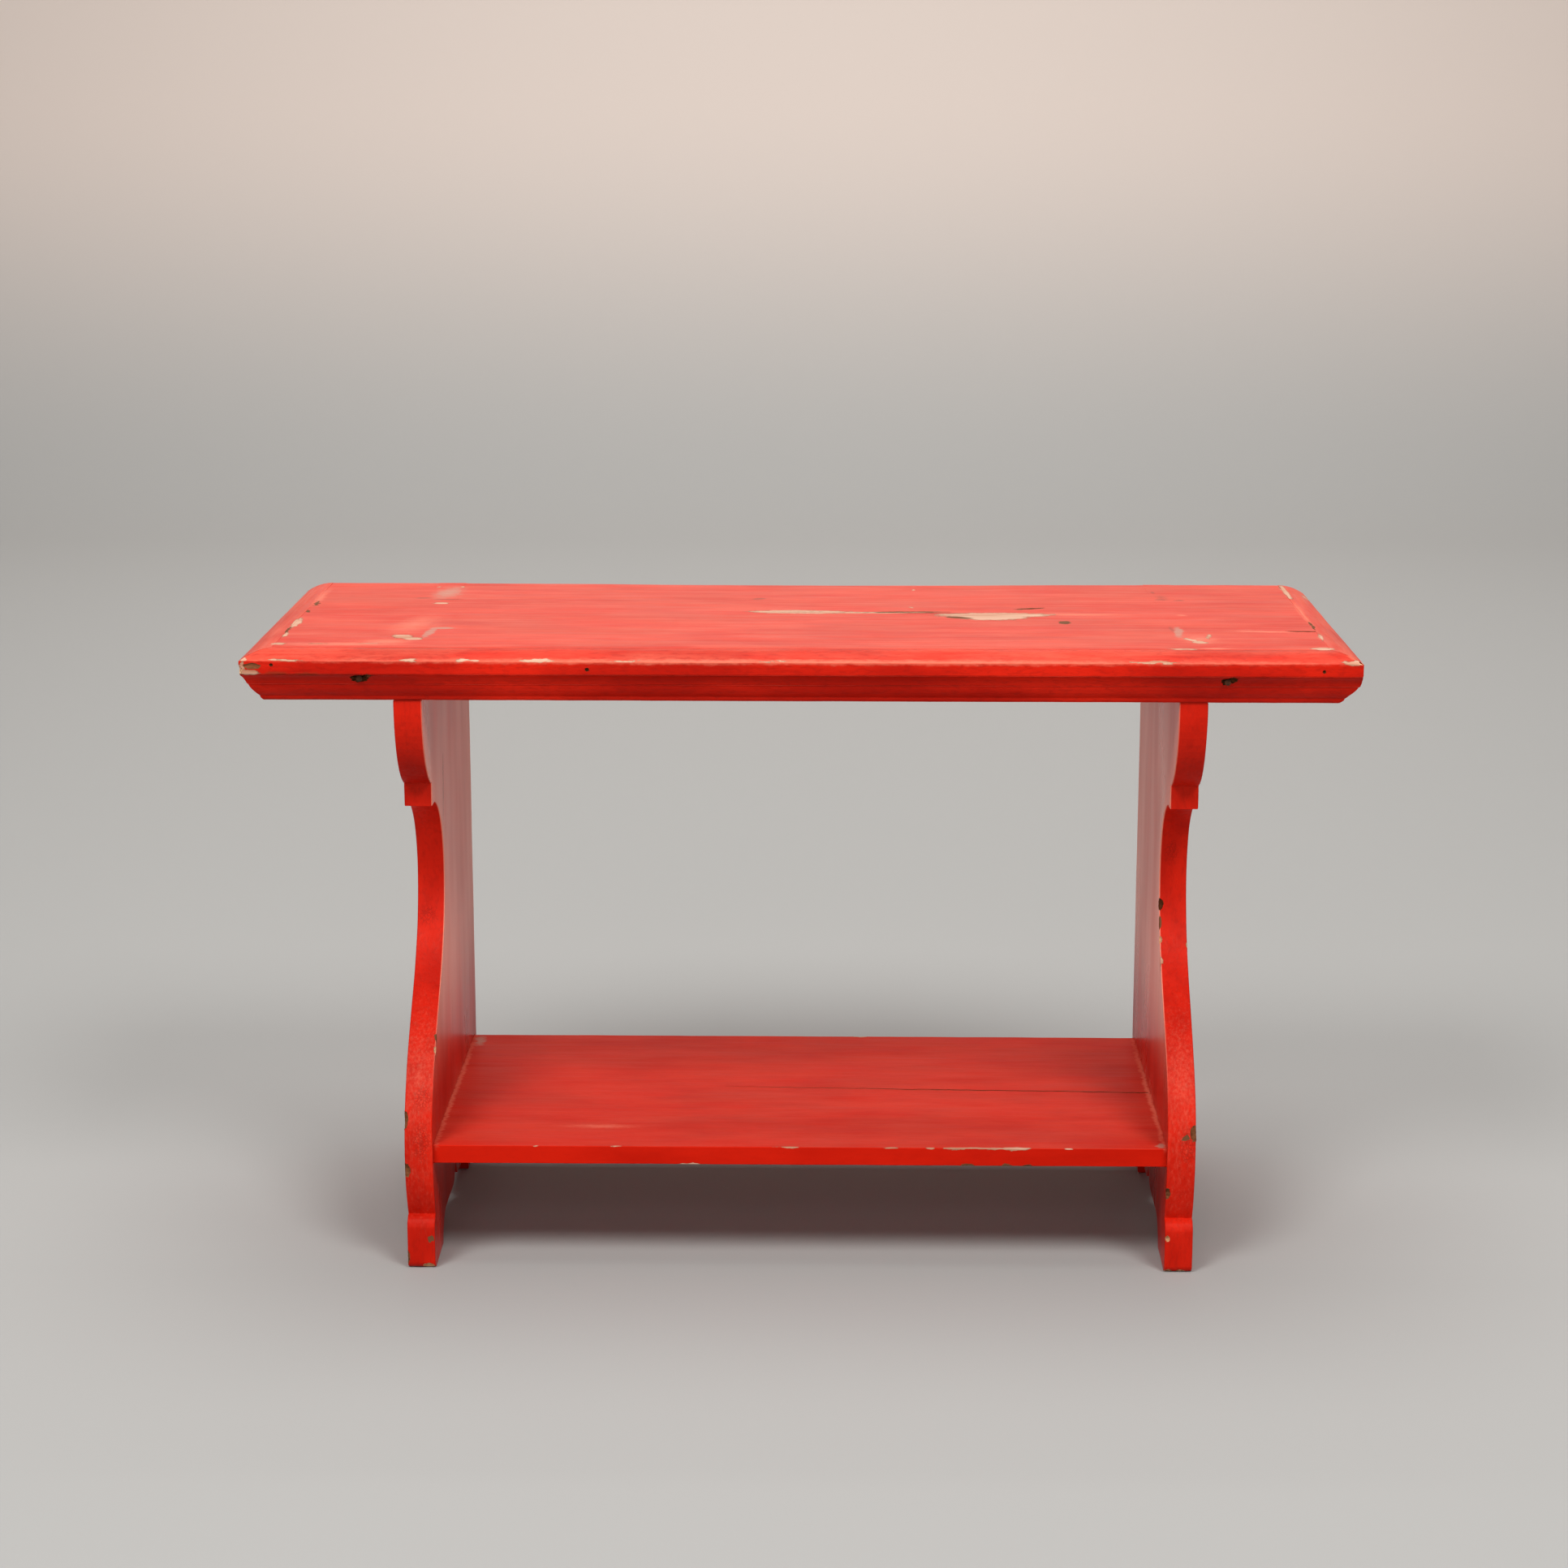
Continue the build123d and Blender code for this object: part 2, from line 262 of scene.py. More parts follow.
class PaintGraph(Graph):
    """The node tree of one board's paint, with the patterns that its layers share."""

    SHARES = (0.38, 0.20, 0.04)  # how fast the three widths of pattern change along the grain
    STRAY_ALONG = 0.009  # how far a worn place's outline strays along the grain, in metres
    STRAY_ACROSS = 0.0044

    def __init__(self, name: str, grain: Axis, spots: tuple[Spot, ...], seed: float) -> None:
        """Lay out the patterns.

        Args:
            name: The material's name.
            grain: The grain's axis.
            spots: The worn places.
            seed: Moves the patterns, so that no two boards match.
        """
        super().__init__(name)
        self.spots = spots
        self.bench = self.node("TexCoord").outputs["Object"]
        moved = self.node("Mapping", {"Vector": self.bench, "Location": (seed, 0.3 * seed, 0.0)})
        along, self.broad, fibre = (self.stretched(moved.outputs[0], grain, share)
                                    for share in self.SHARES)
        # clouds of tone, brushed bands, single strokes, small lumps, and runs along an arris
        self.clouds = self.noise(along, 24.0)
        self.bands = self.noise(self.broad, 62.0, 4.0, 0.6)
        self.strokes = self.noise(fibre, 240.0, 3.0, 0.6)
        self.mottle = self.noise(along, 330.0, 3.0, 0.62)
        self.runs = self.noise(along, 42.0, 3.0, 0.6)
        # how a worn place's outline breaks up, and the coordinates that make it stray
        self.fray = self.times(self.less(self.noise(along, 430.0, 5.0, 0.72), 0.5), 0.95)
        throw = [self.STRAY_ALONG if axis is grain else self.STRAY_ACROSS for axis in Axis]
        stray = self.vector("SUBTRACT", self.noise(along, 210.0, 3.0, 0.6, output=1), (0.5, 0.5, 0.5))
        self.ragged = self.vector("ADD", self.bench, self.vector("MULTIPLY", stray, throw))

    def field(self, *wears: Wear) -> NodeSocket | None:
        """Return how near each point lies to the spots of some kinds.

        Args:
            *wears: The kinds of wear, of which a shaded spot is soft and the others are ragged.

        Returns:
            A value of 1 at a spot's middle and SPOT_EDGE on its outline, or None with no spot.
        """
        soft = Wear.SHADED in wears
        found = None
        for spot in (spot for spot in self.spots if spot.wear in wears):
            moved = self.node("Mapping", {
                "Vector": self.bench if soft else self.ragged,
                "Location": [c * MM for c in spot.centre],
                "Rotation": (0.0, 0.0, math.radians(spot.turn)),
                "Scale": [h * MM * SPOT_REACH for h in spot.half],
            }, vector_type="TEXTURE")
            ball = self.node("TexGradient", {0: moved.outputs[0]}, gradient_type="SPHERICAL")
            value = ball.outputs["Fac"]
            if spot.share < 1.0:
                value = self.times(value, spot.share)
            found = value if found is None else self.math("MAXIMUM", found, value)
        if found is None or soft:
            return found
        return self.plus(found, self.times(self.fray, self.span(found, 0.0, 0.12)))


@dataclass(frozen=True)
class RedPaint:
    """Brushed, worn, semi-gloss red paint on pine.

    Attributes:
        arris_wear: How far the arrises are rubbed through, from 0 to 1.
        lumps: How lumpy and mottled the paint is, from 0 to 1.
        faded: How much paler its upward faces are, from 0 to 1, as bleached paint and a painted sheen.
        gloss: The specular level of its sheen.
        polish: Its mean roughness.
        soft_seam: The Y of a seam that paint and wear have rounded over, in millimetres, or None.
        glossy_face: How far a face that has kept its gloss, and carries a painted reflection, lies from
            the middle, in millimetres.
    """

    arris_wear: float
    lumps: float
    faded: float
    gloss: float
    polish: float = 0.40
    soft_seam: float | None = None
    glossy_face: float | None = None

    DEEP = (0.45, 0.007, 0.002, 1.0)
    FRESH = (0.65, 0.014, 0.004, 1.0)
    PALE = (0.83, 0.215, 0.128, 1.0)
    SHADE = (0.24, 0.006, 0.003, 1.0)
    DIRT = (0.20, 0.028, 0.010, 1.0)
    CREAM = (0.60, 0.355, 0.245, 1.0)
    TAN = (0.45, 0.195, 0.115, 1.0)
    BROWN = (0.15, 0.060, 0.026, 1.0)
    PUTTY_GREY = (0.42, 0.25, 0.185, 1.0)
    FILM = (0.90, 0.345, 0.235, 1.0)
    SHEEN = (1.0, 0.74, 0.58, 1.0)

    # what lies on the coat, painted highlight and shade among it: where a spot's field starts and is
    # full, its share, and its colour
    LAYERS = (
        (Wear.RUBBED, 0.06, 0.90, 0.55, PALE),
        (Wear.SHADED, 0.0, 0.80, 0.50, SHADE),
        (Wear.GRIME, 0.12, 0.75, 0.60, DIRT),
        (Wear.PUTTY, SPOT_EDGE - 0.16, SPOT_EDGE + 0.26, 0.62, PUTTY_GREY),
    )
    PAINT_HEIGHT = 0.45  # in units of the bump's height, as the next two are
    CRAZE_DEPTH = 0.5
    SEAM_DEPTH = 1.7
    SEAM_REACH = 9.0  # how far the soft seam reaches to each side, in millimetres
    WOOD_ROUGHNESS = 0.8

    def material(self, name: str, grain: Axis, spots: tuple[Spot, ...], seed: float) -> Material:
        """Build the paint for one board.

        Args:
            name: The material's name.
            grain: The grain's axis.
            spots: The worn places.
            seed: Moves the patterns, so that no two boards match.

        Returns:
            The material.
        """
        graph = PaintGraph(name, grain, spots, seed)
        bleach = self.bleach(graph)
        coat = self.coat(graph, bleach)
        relief = graph.plus(
            graph.times(graph.less(graph.strokes, 0.5), 0.04 + 0.3 * self.lumps),
            graph.times(graph.less(graph.mottle, 0.5), 1.7 * self.lumps))
        sheen = graph.span(graph.strokes, 0.3, 0.7, self.polish - 0.07, self.polish + 0.07)
        # the inner face: lower roughness, and a pale pink painted reflection of the room
        if self.glossy_face is not None:
            glossy = self.inner_face(graph)
            reflection_noise = graph.noise(graph.broad, 17.0, 2.0)
            haze = graph.times(self.haze(graph), glossy)
            coat = graph.mix(graph.times(haze, graph.span(reflection_noise, 0.32, 0.66, 0.74, 1.0)),
                             coat, self.FILM)
            relief = graph.times(relief, graph.span(glossy, 0.0, 1.0, 1.0, 0.05))
            sheen = graph.blend(glossy, sheen, graph.span(reflection_noise, 0.32, 0.66, 0.34, 0.27))
        for wear, start, full, share, colour in self.LAYERS:
            worn = graph.field(wear)
            if worn is not None:
                coat = graph.mix(graph.span(worn, start, full, 0.0, share), coat, colour)
        wood, bare = self.wood(graph, bleach)
        height = graph.plus(graph.times(graph.less(1.0, bare), self.PAINT_HEIGHT), relief)
        crazing = self.crazing(graph)
        if crazing is not None:
            coat = graph.mix(crazing, coat, self.SHADE)
            height = graph.less(height, graph.times(crazing, self.CRAZE_DEPTH))
        if self.soft_seam is not None:
            height = graph.less(height, self.rounding(graph))
        roughness = graph.blend(bare, sheen, self.WOOD_ROUGHNESS)
        return graph.finish(graph.mix(bare, coat, wood), roughness, height,
                            specular=self.gloss, tint=self.SHEEN)

    def bleach(self, graph: PaintGraph) -> NodeSocket:
        """Find where the paint is paler on what faces up: bleached paint, and a painted sheen in place
        of glare.

        Args:
            graph: The material's graph.

        Returns:
            The share of the pale colour, which is bleached paint and painted sheen.
        """
        brushed = graph.plus(graph.times(graph.bands, 0.7), graph.times(graph.strokes, 0.3))
        faded = graph.span(brushed, 0.34, 0.64, 0.12 * self.faded, 0.46 * self.faded)
        # the pale share is kept to faces that look up: bleached paint, and painted sheen
        facing_up = graph.part(graph.node("NewGeometry").outputs["Normal"], Axis.Z)
        return graph.times(faded, graph.span(facing_up, 0.25, 0.92))

    def coat(self, graph: PaintGraph, bleach: NodeSocket) -> NodeSocket:
        """Mix the unworn coat, with painted shade in the hollows between its lumps.

        Args:
            graph: The material's graph.
            bleach: How far the paint is bleached and painted with sheen.

        Returns:
            The coat's colour.
        """
        uneven = min(0.5, 0.14 + 0.75 * self.lumps)
        tone = graph.span(graph.clouds, 0.32, 0.66, 0.5 - uneven, 0.5 + uneven)
        coat = graph.mix(bleach, graph.mix(tone, self.DEEP, self.FRESH), self.PALE)
        thin = graph.span(graph.strokes, 0.28, 0.45, 0.30 * self.lumps, 0.0)
        # painted shade: darker where the lumps' bump sinks
        hollow_shade = graph.span(graph.mottle, 0.34, 0.52, 0.55 * self.lumps, 0.0)
        return graph.mix(hollow_shade, graph.mix(thin, coat, self.SHADE), self.SHADE)

    def wood(self, graph: PaintGraph, bleach: NodeSocket) -> tuple[NodeSocket, NodeSocket]:
        """Mix the bared wood, and find where it shows.

        Args:
            graph: The material's graph.
            bleach: How far the paint is bleached and painted with sheen.

        Returns:
            The wood's colour, and a value of 1 where it is bare.
        """
        # bare wood is paler where the paint is bleached and painted with sheen
        colour = graph.mix(graph.span(bleach, 0.04, 0.40), self.TAN, self.CREAM)
        colour = graph.mix(graph.span(graph.strokes, 0.35, 0.62), colour, self.CREAM)
        stained = graph.field(Wear.STAINED)
        if stained is not None:
            colour = graph.mix(graph.span(stained, 0.10, 0.40), colour, self.BROWN)
        arris = graph.node("Attribute", attribute_name=ARRIS).outputs["Fac"]
        worn = 0.42 * self.arris_wear
        rub = graph.times(arris, graph.span(graph.runs, 0.76 - worn, 0.94 - worn))
        edge = graph.times(rub, graph.plus(0.45, graph.fray))
        spots = graph.field(Wear.BARE, Wear.STAINED)
        if spots is not None:
            edge = graph.math("MAXIMUM", edge, spots)
        rim = graph.span(edge, SPOT_EDGE, SPOT_EDGE + 0.16, 0.55, 0.0)
        bare = graph.span(edge, SPOT_EDGE - 0.03, SPOT_EDGE + 0.04)
        return graph.mix(rim, colour, self.BROWN), bare

    def crazing(self, graph: PaintGraph) -> NodeSocket | None:
        """Draw the fine cracks of the crackled places.

        Args:
            graph: The material's graph.

        Returns:
            How deep a crack is, or None where nothing is crackled.
        """
        crackle = graph.field(Wear.CRACKLE)
        if crackle is None:
            return None
        inputs = {"Vector": graph.ragged, "Scale": 380.0, "Randomness": 1.0}
        cells = graph.node("TexVoronoi", inputs, feature="DISTANCE_TO_EDGE").outputs[0]
        line = graph.span(cells, 0.02, 0.20, 1.0, 0.0)
        return graph.times(line, graph.span(crackle, 0.16, 0.75, 0.0, 0.45))

    def inner_face(self, graph: PaintGraph) -> NodeSocket:
        """Return 1 on the face that has kept its gloss, and 0 elsewhere."""
        across = graph.math("ABSOLUTE", graph.part(graph.bench, Axis.X))
        return graph.span(across, (self.glossy_face + 0.5) * MM, (self.glossy_face + 1.4) * MM,
                          1.0, 0.0)

    def haze(self, graph: PaintGraph) -> NodeSocket:
        """Return the share of the painted reflection by height: none below 130 mm by the shelf, full in
        the middle of the board, and down to about half under the top, as painted shade.
        """
        height = graph.part(graph.bench, Axis.Z)
        return graph.times(graph.span(height, 0.13, 0.24), graph.span(height, 0.38, 0.48, 1.0, 0.55))

    def rounding(self, graph: PaintGraph) -> NodeSocket:
        """Round the seam between two boards over.

        Args:
            graph: The material's graph.

        Returns:
            How deep the soft arris lies below its two faces.
        """
        across = graph.less(graph.part(graph.ragged, Axis.Y), self.soft_seam * MM)
        inputs = {0: graph.math("ABSOLUTE", across), 1: self.SEAM_REACH * MM}
        gap = graph.node("Math", inputs, operation="DIVIDE", use_clamp=True).outputs[0]
        rise = graph.less(1.0, gap)
        return graph.times(graph.times(rise, rise), self.SEAM_DEPTH)


@dataclass(frozen=True)
class BaredWood:
    """Broken pine inside a chip, pit or crack.

    Attributes:
        name: The material's name.
        light: The colour of the clean fibres.
        dark: The colour of the dirt between them.
        dirt: How much dirt there is, from 0 to 1.
    """

    name: str
    light: Colour
    dark: Colour
    dirt: float

    @cache
    def material(self) -> Material:
        """Build the wood, once for all that is cut.

        Returns:
            The material.
        """
        graph = Graph(self.name)
        bench = graph.node("TexCoord").outputs["Object"]
        fibres = graph.noise(graph.stretched(bench, Axis.X, 0.12), 520.0, 4.0, 0.65)
        blots = graph.noise(bench, 190.0)
        share = graph.plus(graph.times(fibres, 0.6), graph.times(blots, 0.4))
        middle = 0.30 + 0.30 * (1.0 - self.dirt)
        colour = graph.mix(graph.span(share, middle - 0.14, middle + 0.14), self.dark, self.light)
        return graph.finish(colour, 0.85, fibres, 0.0006, specular=0.1)


@dataclass(frozen=True)
class NailIron:
    """Old nail steel, brown with rust.

    Attributes:
        name: The material's name.
        scale: The colour of the black scale.
        rust: The colour of the rust.
    """

    name: str = "rusty_nail_iron"
    scale: Colour = (0.030, 0.014, 0.008, 1.0)
    rust: Colour = (0.09, 0.03, 0.012, 1.0)

    def material(self) -> Material:
        """Build the iron.

        Returns:
            The material.
        """
        graph = Graph(self.name)
        pocks = graph.noise(graph.node("TexCoord").outputs["Object"], 900.0, 4.0, 0.65)
        colour = graph.mix(graph.span(pocks, 0.38, 0.62), self.scale, self.rust)
        roughness = graph.span(pocks, 0.3, 0.7, 0.75, 0.95)
        return graph.finish(colour, roughness, pocks, metallic=0.2, specular=0.15)


@dataclass(frozen=True)
class StudioGrey:
    """The plain pale floor and backdrop, a little warmer as the backdrop rises.

    Attributes:
        name: The material's name.
        floor: The floor's colour.
        wall: The backdrop's colour.
        rise: The heights between which the one becomes the other, in metres.
    """

    name: str = "pale_studio_floor"
    floor: Colour = (0.372, 0.366, 0.352, 1.0)
    wall: Colour = (0.60, 0.51, 0.455, 1.0)
    rise: tuple[float, float] = (0.02, 0.9)

    def material(self) -> Material:
        """Build the floor's finish.

        Returns:
            The material.
        """
        graph = Graph(self.name)
        height = graph.part(graph.node("TexCoord").outputs["Object"], Axis.Z)
        colour = graph.mix(graph.span(height, *self.rise), self.floor, self.wall)
        return graph.finish(colour, 0.75, specular=0.2)


FRESH_CHIP = BaredWood("fresh_chipped_pine", (0.70, 0.43, 0.25, 1.0), (0.50, 0.23, 0.10, 1.0), 0.3)
OLD_CHIP = BaredWood("old_stained_pine", (0.22, 0.075, 0.028, 1.0), (0.08, 0.026, 0.01, 1.0), 0.6)
DARK_HOLE = BaredWood("dark_hole_in_pine", (0.10, 0.028, 0.008, 1.0), (0.022, 0.007, 0.003, 1.0), 0.7)


# ---------------------------------------------------------------- the bench's measures

TOP_Z = 523.0
SEAM_Z = 516.0
NOSE_Y = -173.5
SEAM_Y = -150.5
SEAM_X = 421.0
END_X = 444.0
MORTISE_X = (325.3, 301.2)
MORTISE_Y = (-116.8, -56.2, 77.2)
SHELF_Z = 107.0
SHELF_FRONT_Y = -151.8

ORIGIN = (0.0, 0.0, 0.0)
SAME = 0.1  # how close two measures are that count as one


# ---------------------------------------------------------------- hand tools


class Bench:
    """The modelling moves that every board needs, made with Blender's own operators."""

    WELD = 0.01 * MM
    FLAT = math.radians(0.2)
    SHARP = math.radians(28)
    SMOOTH = math.radians(38)
    SKIN = 1.6  # how far below the top's face a joint still sinks with it, in millimetres

    @staticmethod
    def put_down() -> None:
        """Leave edit mode and deselect everything."""
        if bpy.context.mode != "OBJECT":
            bpy.ops.object.mode_set(mode="OBJECT")
        bpy.ops.object.select_all(action="DESELECT")

    @staticmethod
    def pick_up(piece: Object) -> None:
        """Make one object the only one that is selected, and the active one.

        Args:
            piece: The object.
        """
        Bench.put_down()
        piece.select_set(True)
        bpy.context.view_layer.objects.active = piece

    @staticmethod
    def edit(piece: Object, kind: str = "VERT") -> None:
        """Open an object in edit mode with everything in it selected.

        Args:
            piece: The object.
            kind: VERT, EDGE or FACE.
        """
        Bench.pick_up(piece)
        bpy.ops.object.mode_set(mode="EDIT")
        bpy.ops.mesh.select_mode(type=kind)
        bpy.ops.mesh.select_all(action="SELECT")

    @staticmethod
    def apply(piece: Object, kind: str, **settings: object) -> None:
        """Add a modifier and apply it.

        Args:
            piece: The object.
            kind: The modifier's type.
            **settings: Its properties.
        """
        Bench.pick_up(piece)
        modifier = piece.modifiers.new(kind.lower(), kind)
        for key, value in settings.items():
            setattr(modifier, key, value)
        bpy.ops.object.modifier_apply(modifier=modifier.name)

    @staticmethod
    def copy_of(node: str, name: str) -> Object:
        """Copy a node of the frame into a mesh of its own, with its loose triangles merged.

        Args:
            node: The node's name.
            name: The new piece's name.

        Returns:
            The piece, with whole flat faces.
        """
        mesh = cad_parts[node].data.copy()
        mesh.materials.clear()
        piece = bpy.data.objects.new(name, mesh)
        bpy.context.scene.collection.objects.link(piece)
        Bench.pick_up(piece)
        bpy.ops.mesh.customdata_custom_splitnormals_clear()
        Bench.edit(piece)
        bpy.ops.mesh.remove_doubles(threshold=Bench.WELD)
        bpy.ops.mesh.select_all(action="SELECT")
        bpy.ops.mesh.dissolve_limited(angle_limit=Bench.FLAT)
        Bench.put_down()
        return piece

    @staticmethod
    def choose_points(piece: Object, wanted: Callable[[Vector], bool]) -> None:
        """Open an object in edit mode with some of its points selected.

        Args:
            piece: The object.
            wanted: A test of a point, in millimetres.
        """
        Bench.edit(piece)
        bpy.ops.mesh.select_all(action="DESELECT")
        bpy.ops.object.mode_set(mode="OBJECT")
        for vertex in piece.data.vertices:
            vertex.select = wanted(vertex.co / MM)
        bpy.ops.object.mode_set(mode="EDIT")

    @staticmethod
    def choose_edges(piece: Object, wanted: EdgeTest) -> list[tuple[Vector, Vector]]:
        """Keep only the selected edges that are wanted.

        Args:
            piece: The object, in edit mode, with edges selected.
            wanted: A test of an edge's two ends, in millimetres.

        Returns:
            The ends of the edges that stay selected, in metres.
        """
        bpy.ops.object.mode_set(mode="OBJECT")
        mesh = piece.data
        kept = {}
        for edge in mesh.edges:
            first, second = (mesh.vertices[i].co for i in edge.vertices)
            if edge.select and wanted(first / MM, second / MM):
                kept[edge.index] = (first.copy(), second.copy())
        mesh.vertices.foreach_set("select", [False] * len(mesh.vertices))
        mesh.polygons.foreach_set("select", [False] * len(mesh.polygons))
        mesh.edges.foreach_set("select", [edge.index in kept for edge in mesh.edges])
        bpy.ops.object.mode_set(mode="EDIT")
        return list(kept.values())

    @staticmethod
    def round_arrises(piece: Object, radius: float, wanted: EdgeTest) -> list[tuple[Vector, Vector]]:
        """Round some of the sharp edges of a board.

        Args:
            piece: The board.
            radius: The rounding, in millimetres.
            wanted: A test of an edge's two ends, in millimetres.

        Returns:
            The ends of the edges that were rounded, in metres.
        """
        Bench.edit(piece, "EDGE")
        bpy.ops.mesh.select_all(action="DESELECT")
        bpy.ops.mesh.edges_select_sharp(sharpness=Bench.SHARP)
        rounded = Bench.choose_edges(piece, wanted)
        if rounded:
            bpy.ops.mesh.bevel(offset=radius * MM, segments=4, affect="EDGES", clamp_overlap=False)
        Bench.put_down()
        return rounded

    @staticmethod
    def mark_arrises(piece: Object, arrises: list[tuple[Vector, Vector]],
                     reach: float = 5.0) -> None:
        """Store how near each point lies to an arris, for the paint to read.

        Args:
            piece: The finished board.
            arrises: The ends of the arrises, in metres.
            reach: Where the value falls to 0, in millimetres.
        """
        points = np.array([v.co for v in piece.data.vertices])
        nearest = np.full(len(points), 1.0)
        for first, second in arrises:
            start, run = np.array(first), np.array(second - first)
            share = np.clip((points - start) @ run / max(run @ run, 1e-12), 0.0, 1.0)
            gap = np.linalg.norm(points - start - share[:, None] * run, axis=1)
            nearest = np.minimum(nearest, gap)
        arris = piece.data.attributes.new(ARRIS, "FLOAT", "POINT")
        values = np.clip(1.0 - (nearest / MM - 1.0) / (reach - 1.0), 0.0, 1.0)
        arris.data.foreach_set("value", values.astype(np.float32))

    @staticmethod
    def saw_lines(piece: Object, axis: Axis, pitch: float) -> None:
        """Cut a board's faces across at an even pitch, so that they can follow the wood.

        Args:
            piece: The board.
            axis: The axis that the cuts step along.
            pitch: The step, in millimetres.
        """
        places = [v.co[axis.value] for v in piece.data.vertices]
        low, high = min(places), max(places)
        count = max(1, round((high - low) / (pitch * MM)))
        normal = [0.0, 0.0, 0.0]
        normal[axis.value] = 1.0
        Bench.edit(piece)
        for step in range(1, count):
            at = [0.0, 0.0, 0.0]
            at[axis.value] = low + (high - low) * step / count
            bpy.ops.mesh.select_all(action="SELECT")
            bpy.ops.mesh.bisect(plane_co=at, plane_no=normal)
        Bench.put_down()

    @staticmethod
    def weather(piece: Object, depth: float, size: float, joints: tuple[Plane, ...]) -> None:
        """Sink a board's faces unevenly, and never raise them.

        Boards that meet share the pattern, so that they stay flush.

        Args:
            piece: The board.
            depth: The deepest hollow, in millimetres.
            size: The size of the hollows, in millimetres.
            joints: The planes that stay closed, as an axis and a place in millimetres.
        """
        low, high = (Vector(f(v.co[i] for v in piece.data.vertices) for i in range(3))
                     for f in (min, max))
        held = [(v.index, v.co.copy()) for v in piece.data.vertices
                if any(abs(v.co[axis.value] - at * MM) < 0.02 * MM for axis, at in joints)]
        clouds = bpy.data.textures.new(piece.name + "_unevenness", type="CLOUDS")
        clouds.noise_scale = size * MM
        clouds.noise_depth = 2
        Bench.apply(piece, "DISPLACE", texture=clouds, texture_coords="LOCAL", mid_level=0.0,
                    strength=-depth * MM)
        for vertex in piece.data.vertices:
            vertex.co = [min(max(vertex.co[i], low[i]), high[i]) for i in range(3)]
        for index, place in held:
            if place.z > (TOP_Z - Bench.SKIN) * MM:
                place.z -= depth * MM * clouds.evaluate(place)[3]
            piece.data.vertices[index].co = place

    @staticmethod
    def carve(piece: Object, cutters: list[Object]) -> None:
        """Cut the cutters' shapes out of a board, and leave their finish in the cuts.

        Args:
            piece: The board.
            cutters: The closed shapes, which are used up.
        """
        if not cutters:
            return
        tray = bpy.data.collections.new(piece.name + "_cutters")
        for cutter in cutters:
            tray.objects.link(cutter)
        Bench.apply(piece, "BOOLEAN", operation="DIFFERENCE", solver="EXACT",
                    material_mode="TRANSFER", operand_type="COLLECTION", collection=tray)
        for cutter in cutters:
            bpy.data.objects.remove(cutter)
        bpy.data.collections.remove(tray)

    @staticmethod
    def fill(piece: Object, plug: Object) -> None:
        """Join a solid plug to a board, and flatten the seam between them.

        Args:
            piece: The board.
            plug: The closed shape, which is used up.
        """
        Bench.apply(piece, "BOOLEAN", operation="UNION", solver="EXACT", object=plug)
        bpy.data.objects.remove(plug)
        Bench.edit(piece)
        bpy.ops.mesh.dissolve_limited(angle_limit=Bench.FLAT)
        Bench.put_down()

    @staticmethod
    def smooth(piece: Object) -> None:
        """Shade a finished board smooth across its roundings and flat on its flats.

        Args:
            piece: The board.
        """
        Bench.pick_up(piece)
        bpy.ops.object.shade_smooth_by_angle(angle=Bench.SMOOTH)
        Bench.apply(piece, "WEIGHTED_NORMAL", keep_sharp=True, weight=100)


@dataclass(frozen=True)
class Gouge:
    """A chip or pit, as the ragged ball of wood that went with it.

    Attributes:
        centre: The ball's middle, in millimetres.
        half: Its half sizes, in millimetres.
        finish: The wood that shows in it.
        rough: How ragged it is, as a share of its size.
        turn: Its turn about Z, in degrees.
    """

    centre: Place
    half: Place
    finish: BaredWood = FRESH_CHIP
    rough: float = 0.16
    turn: float = 0.0

    def cutter(self) -> Object:
        """Build the ball, which is the same for every board that it cuts.

        Returns:
            The cutter.
        """
        Bench.put_down()
        bpy.ops.mesh.primitive_ico_sphere_add(subdivisions=3, radius=1.0)
        ball = bpy.context.object
        ball.data.materials.append(self.finish.material())
        Bench.edit(ball)
        seed = abs(round(10 * sum(self.centre))) % 10000
        bpy.ops.transform.vertex_random(offset=self.rough, uniform=0.3, normal=0.4, seed=seed)
        bpy.ops.transform.resize(value=[h * MM for h in self.half], center_override=ORIGIN)
        if self.turn:
            bpy.ops.transform.rotate(value=-math.radians(self.turn), orient_axis="Z",
                                     center_override=ORIGIN)
        bpy.ops.transform.translate(value=[c * MM for c in self.centre])
        Bench.put_down()
        return ball


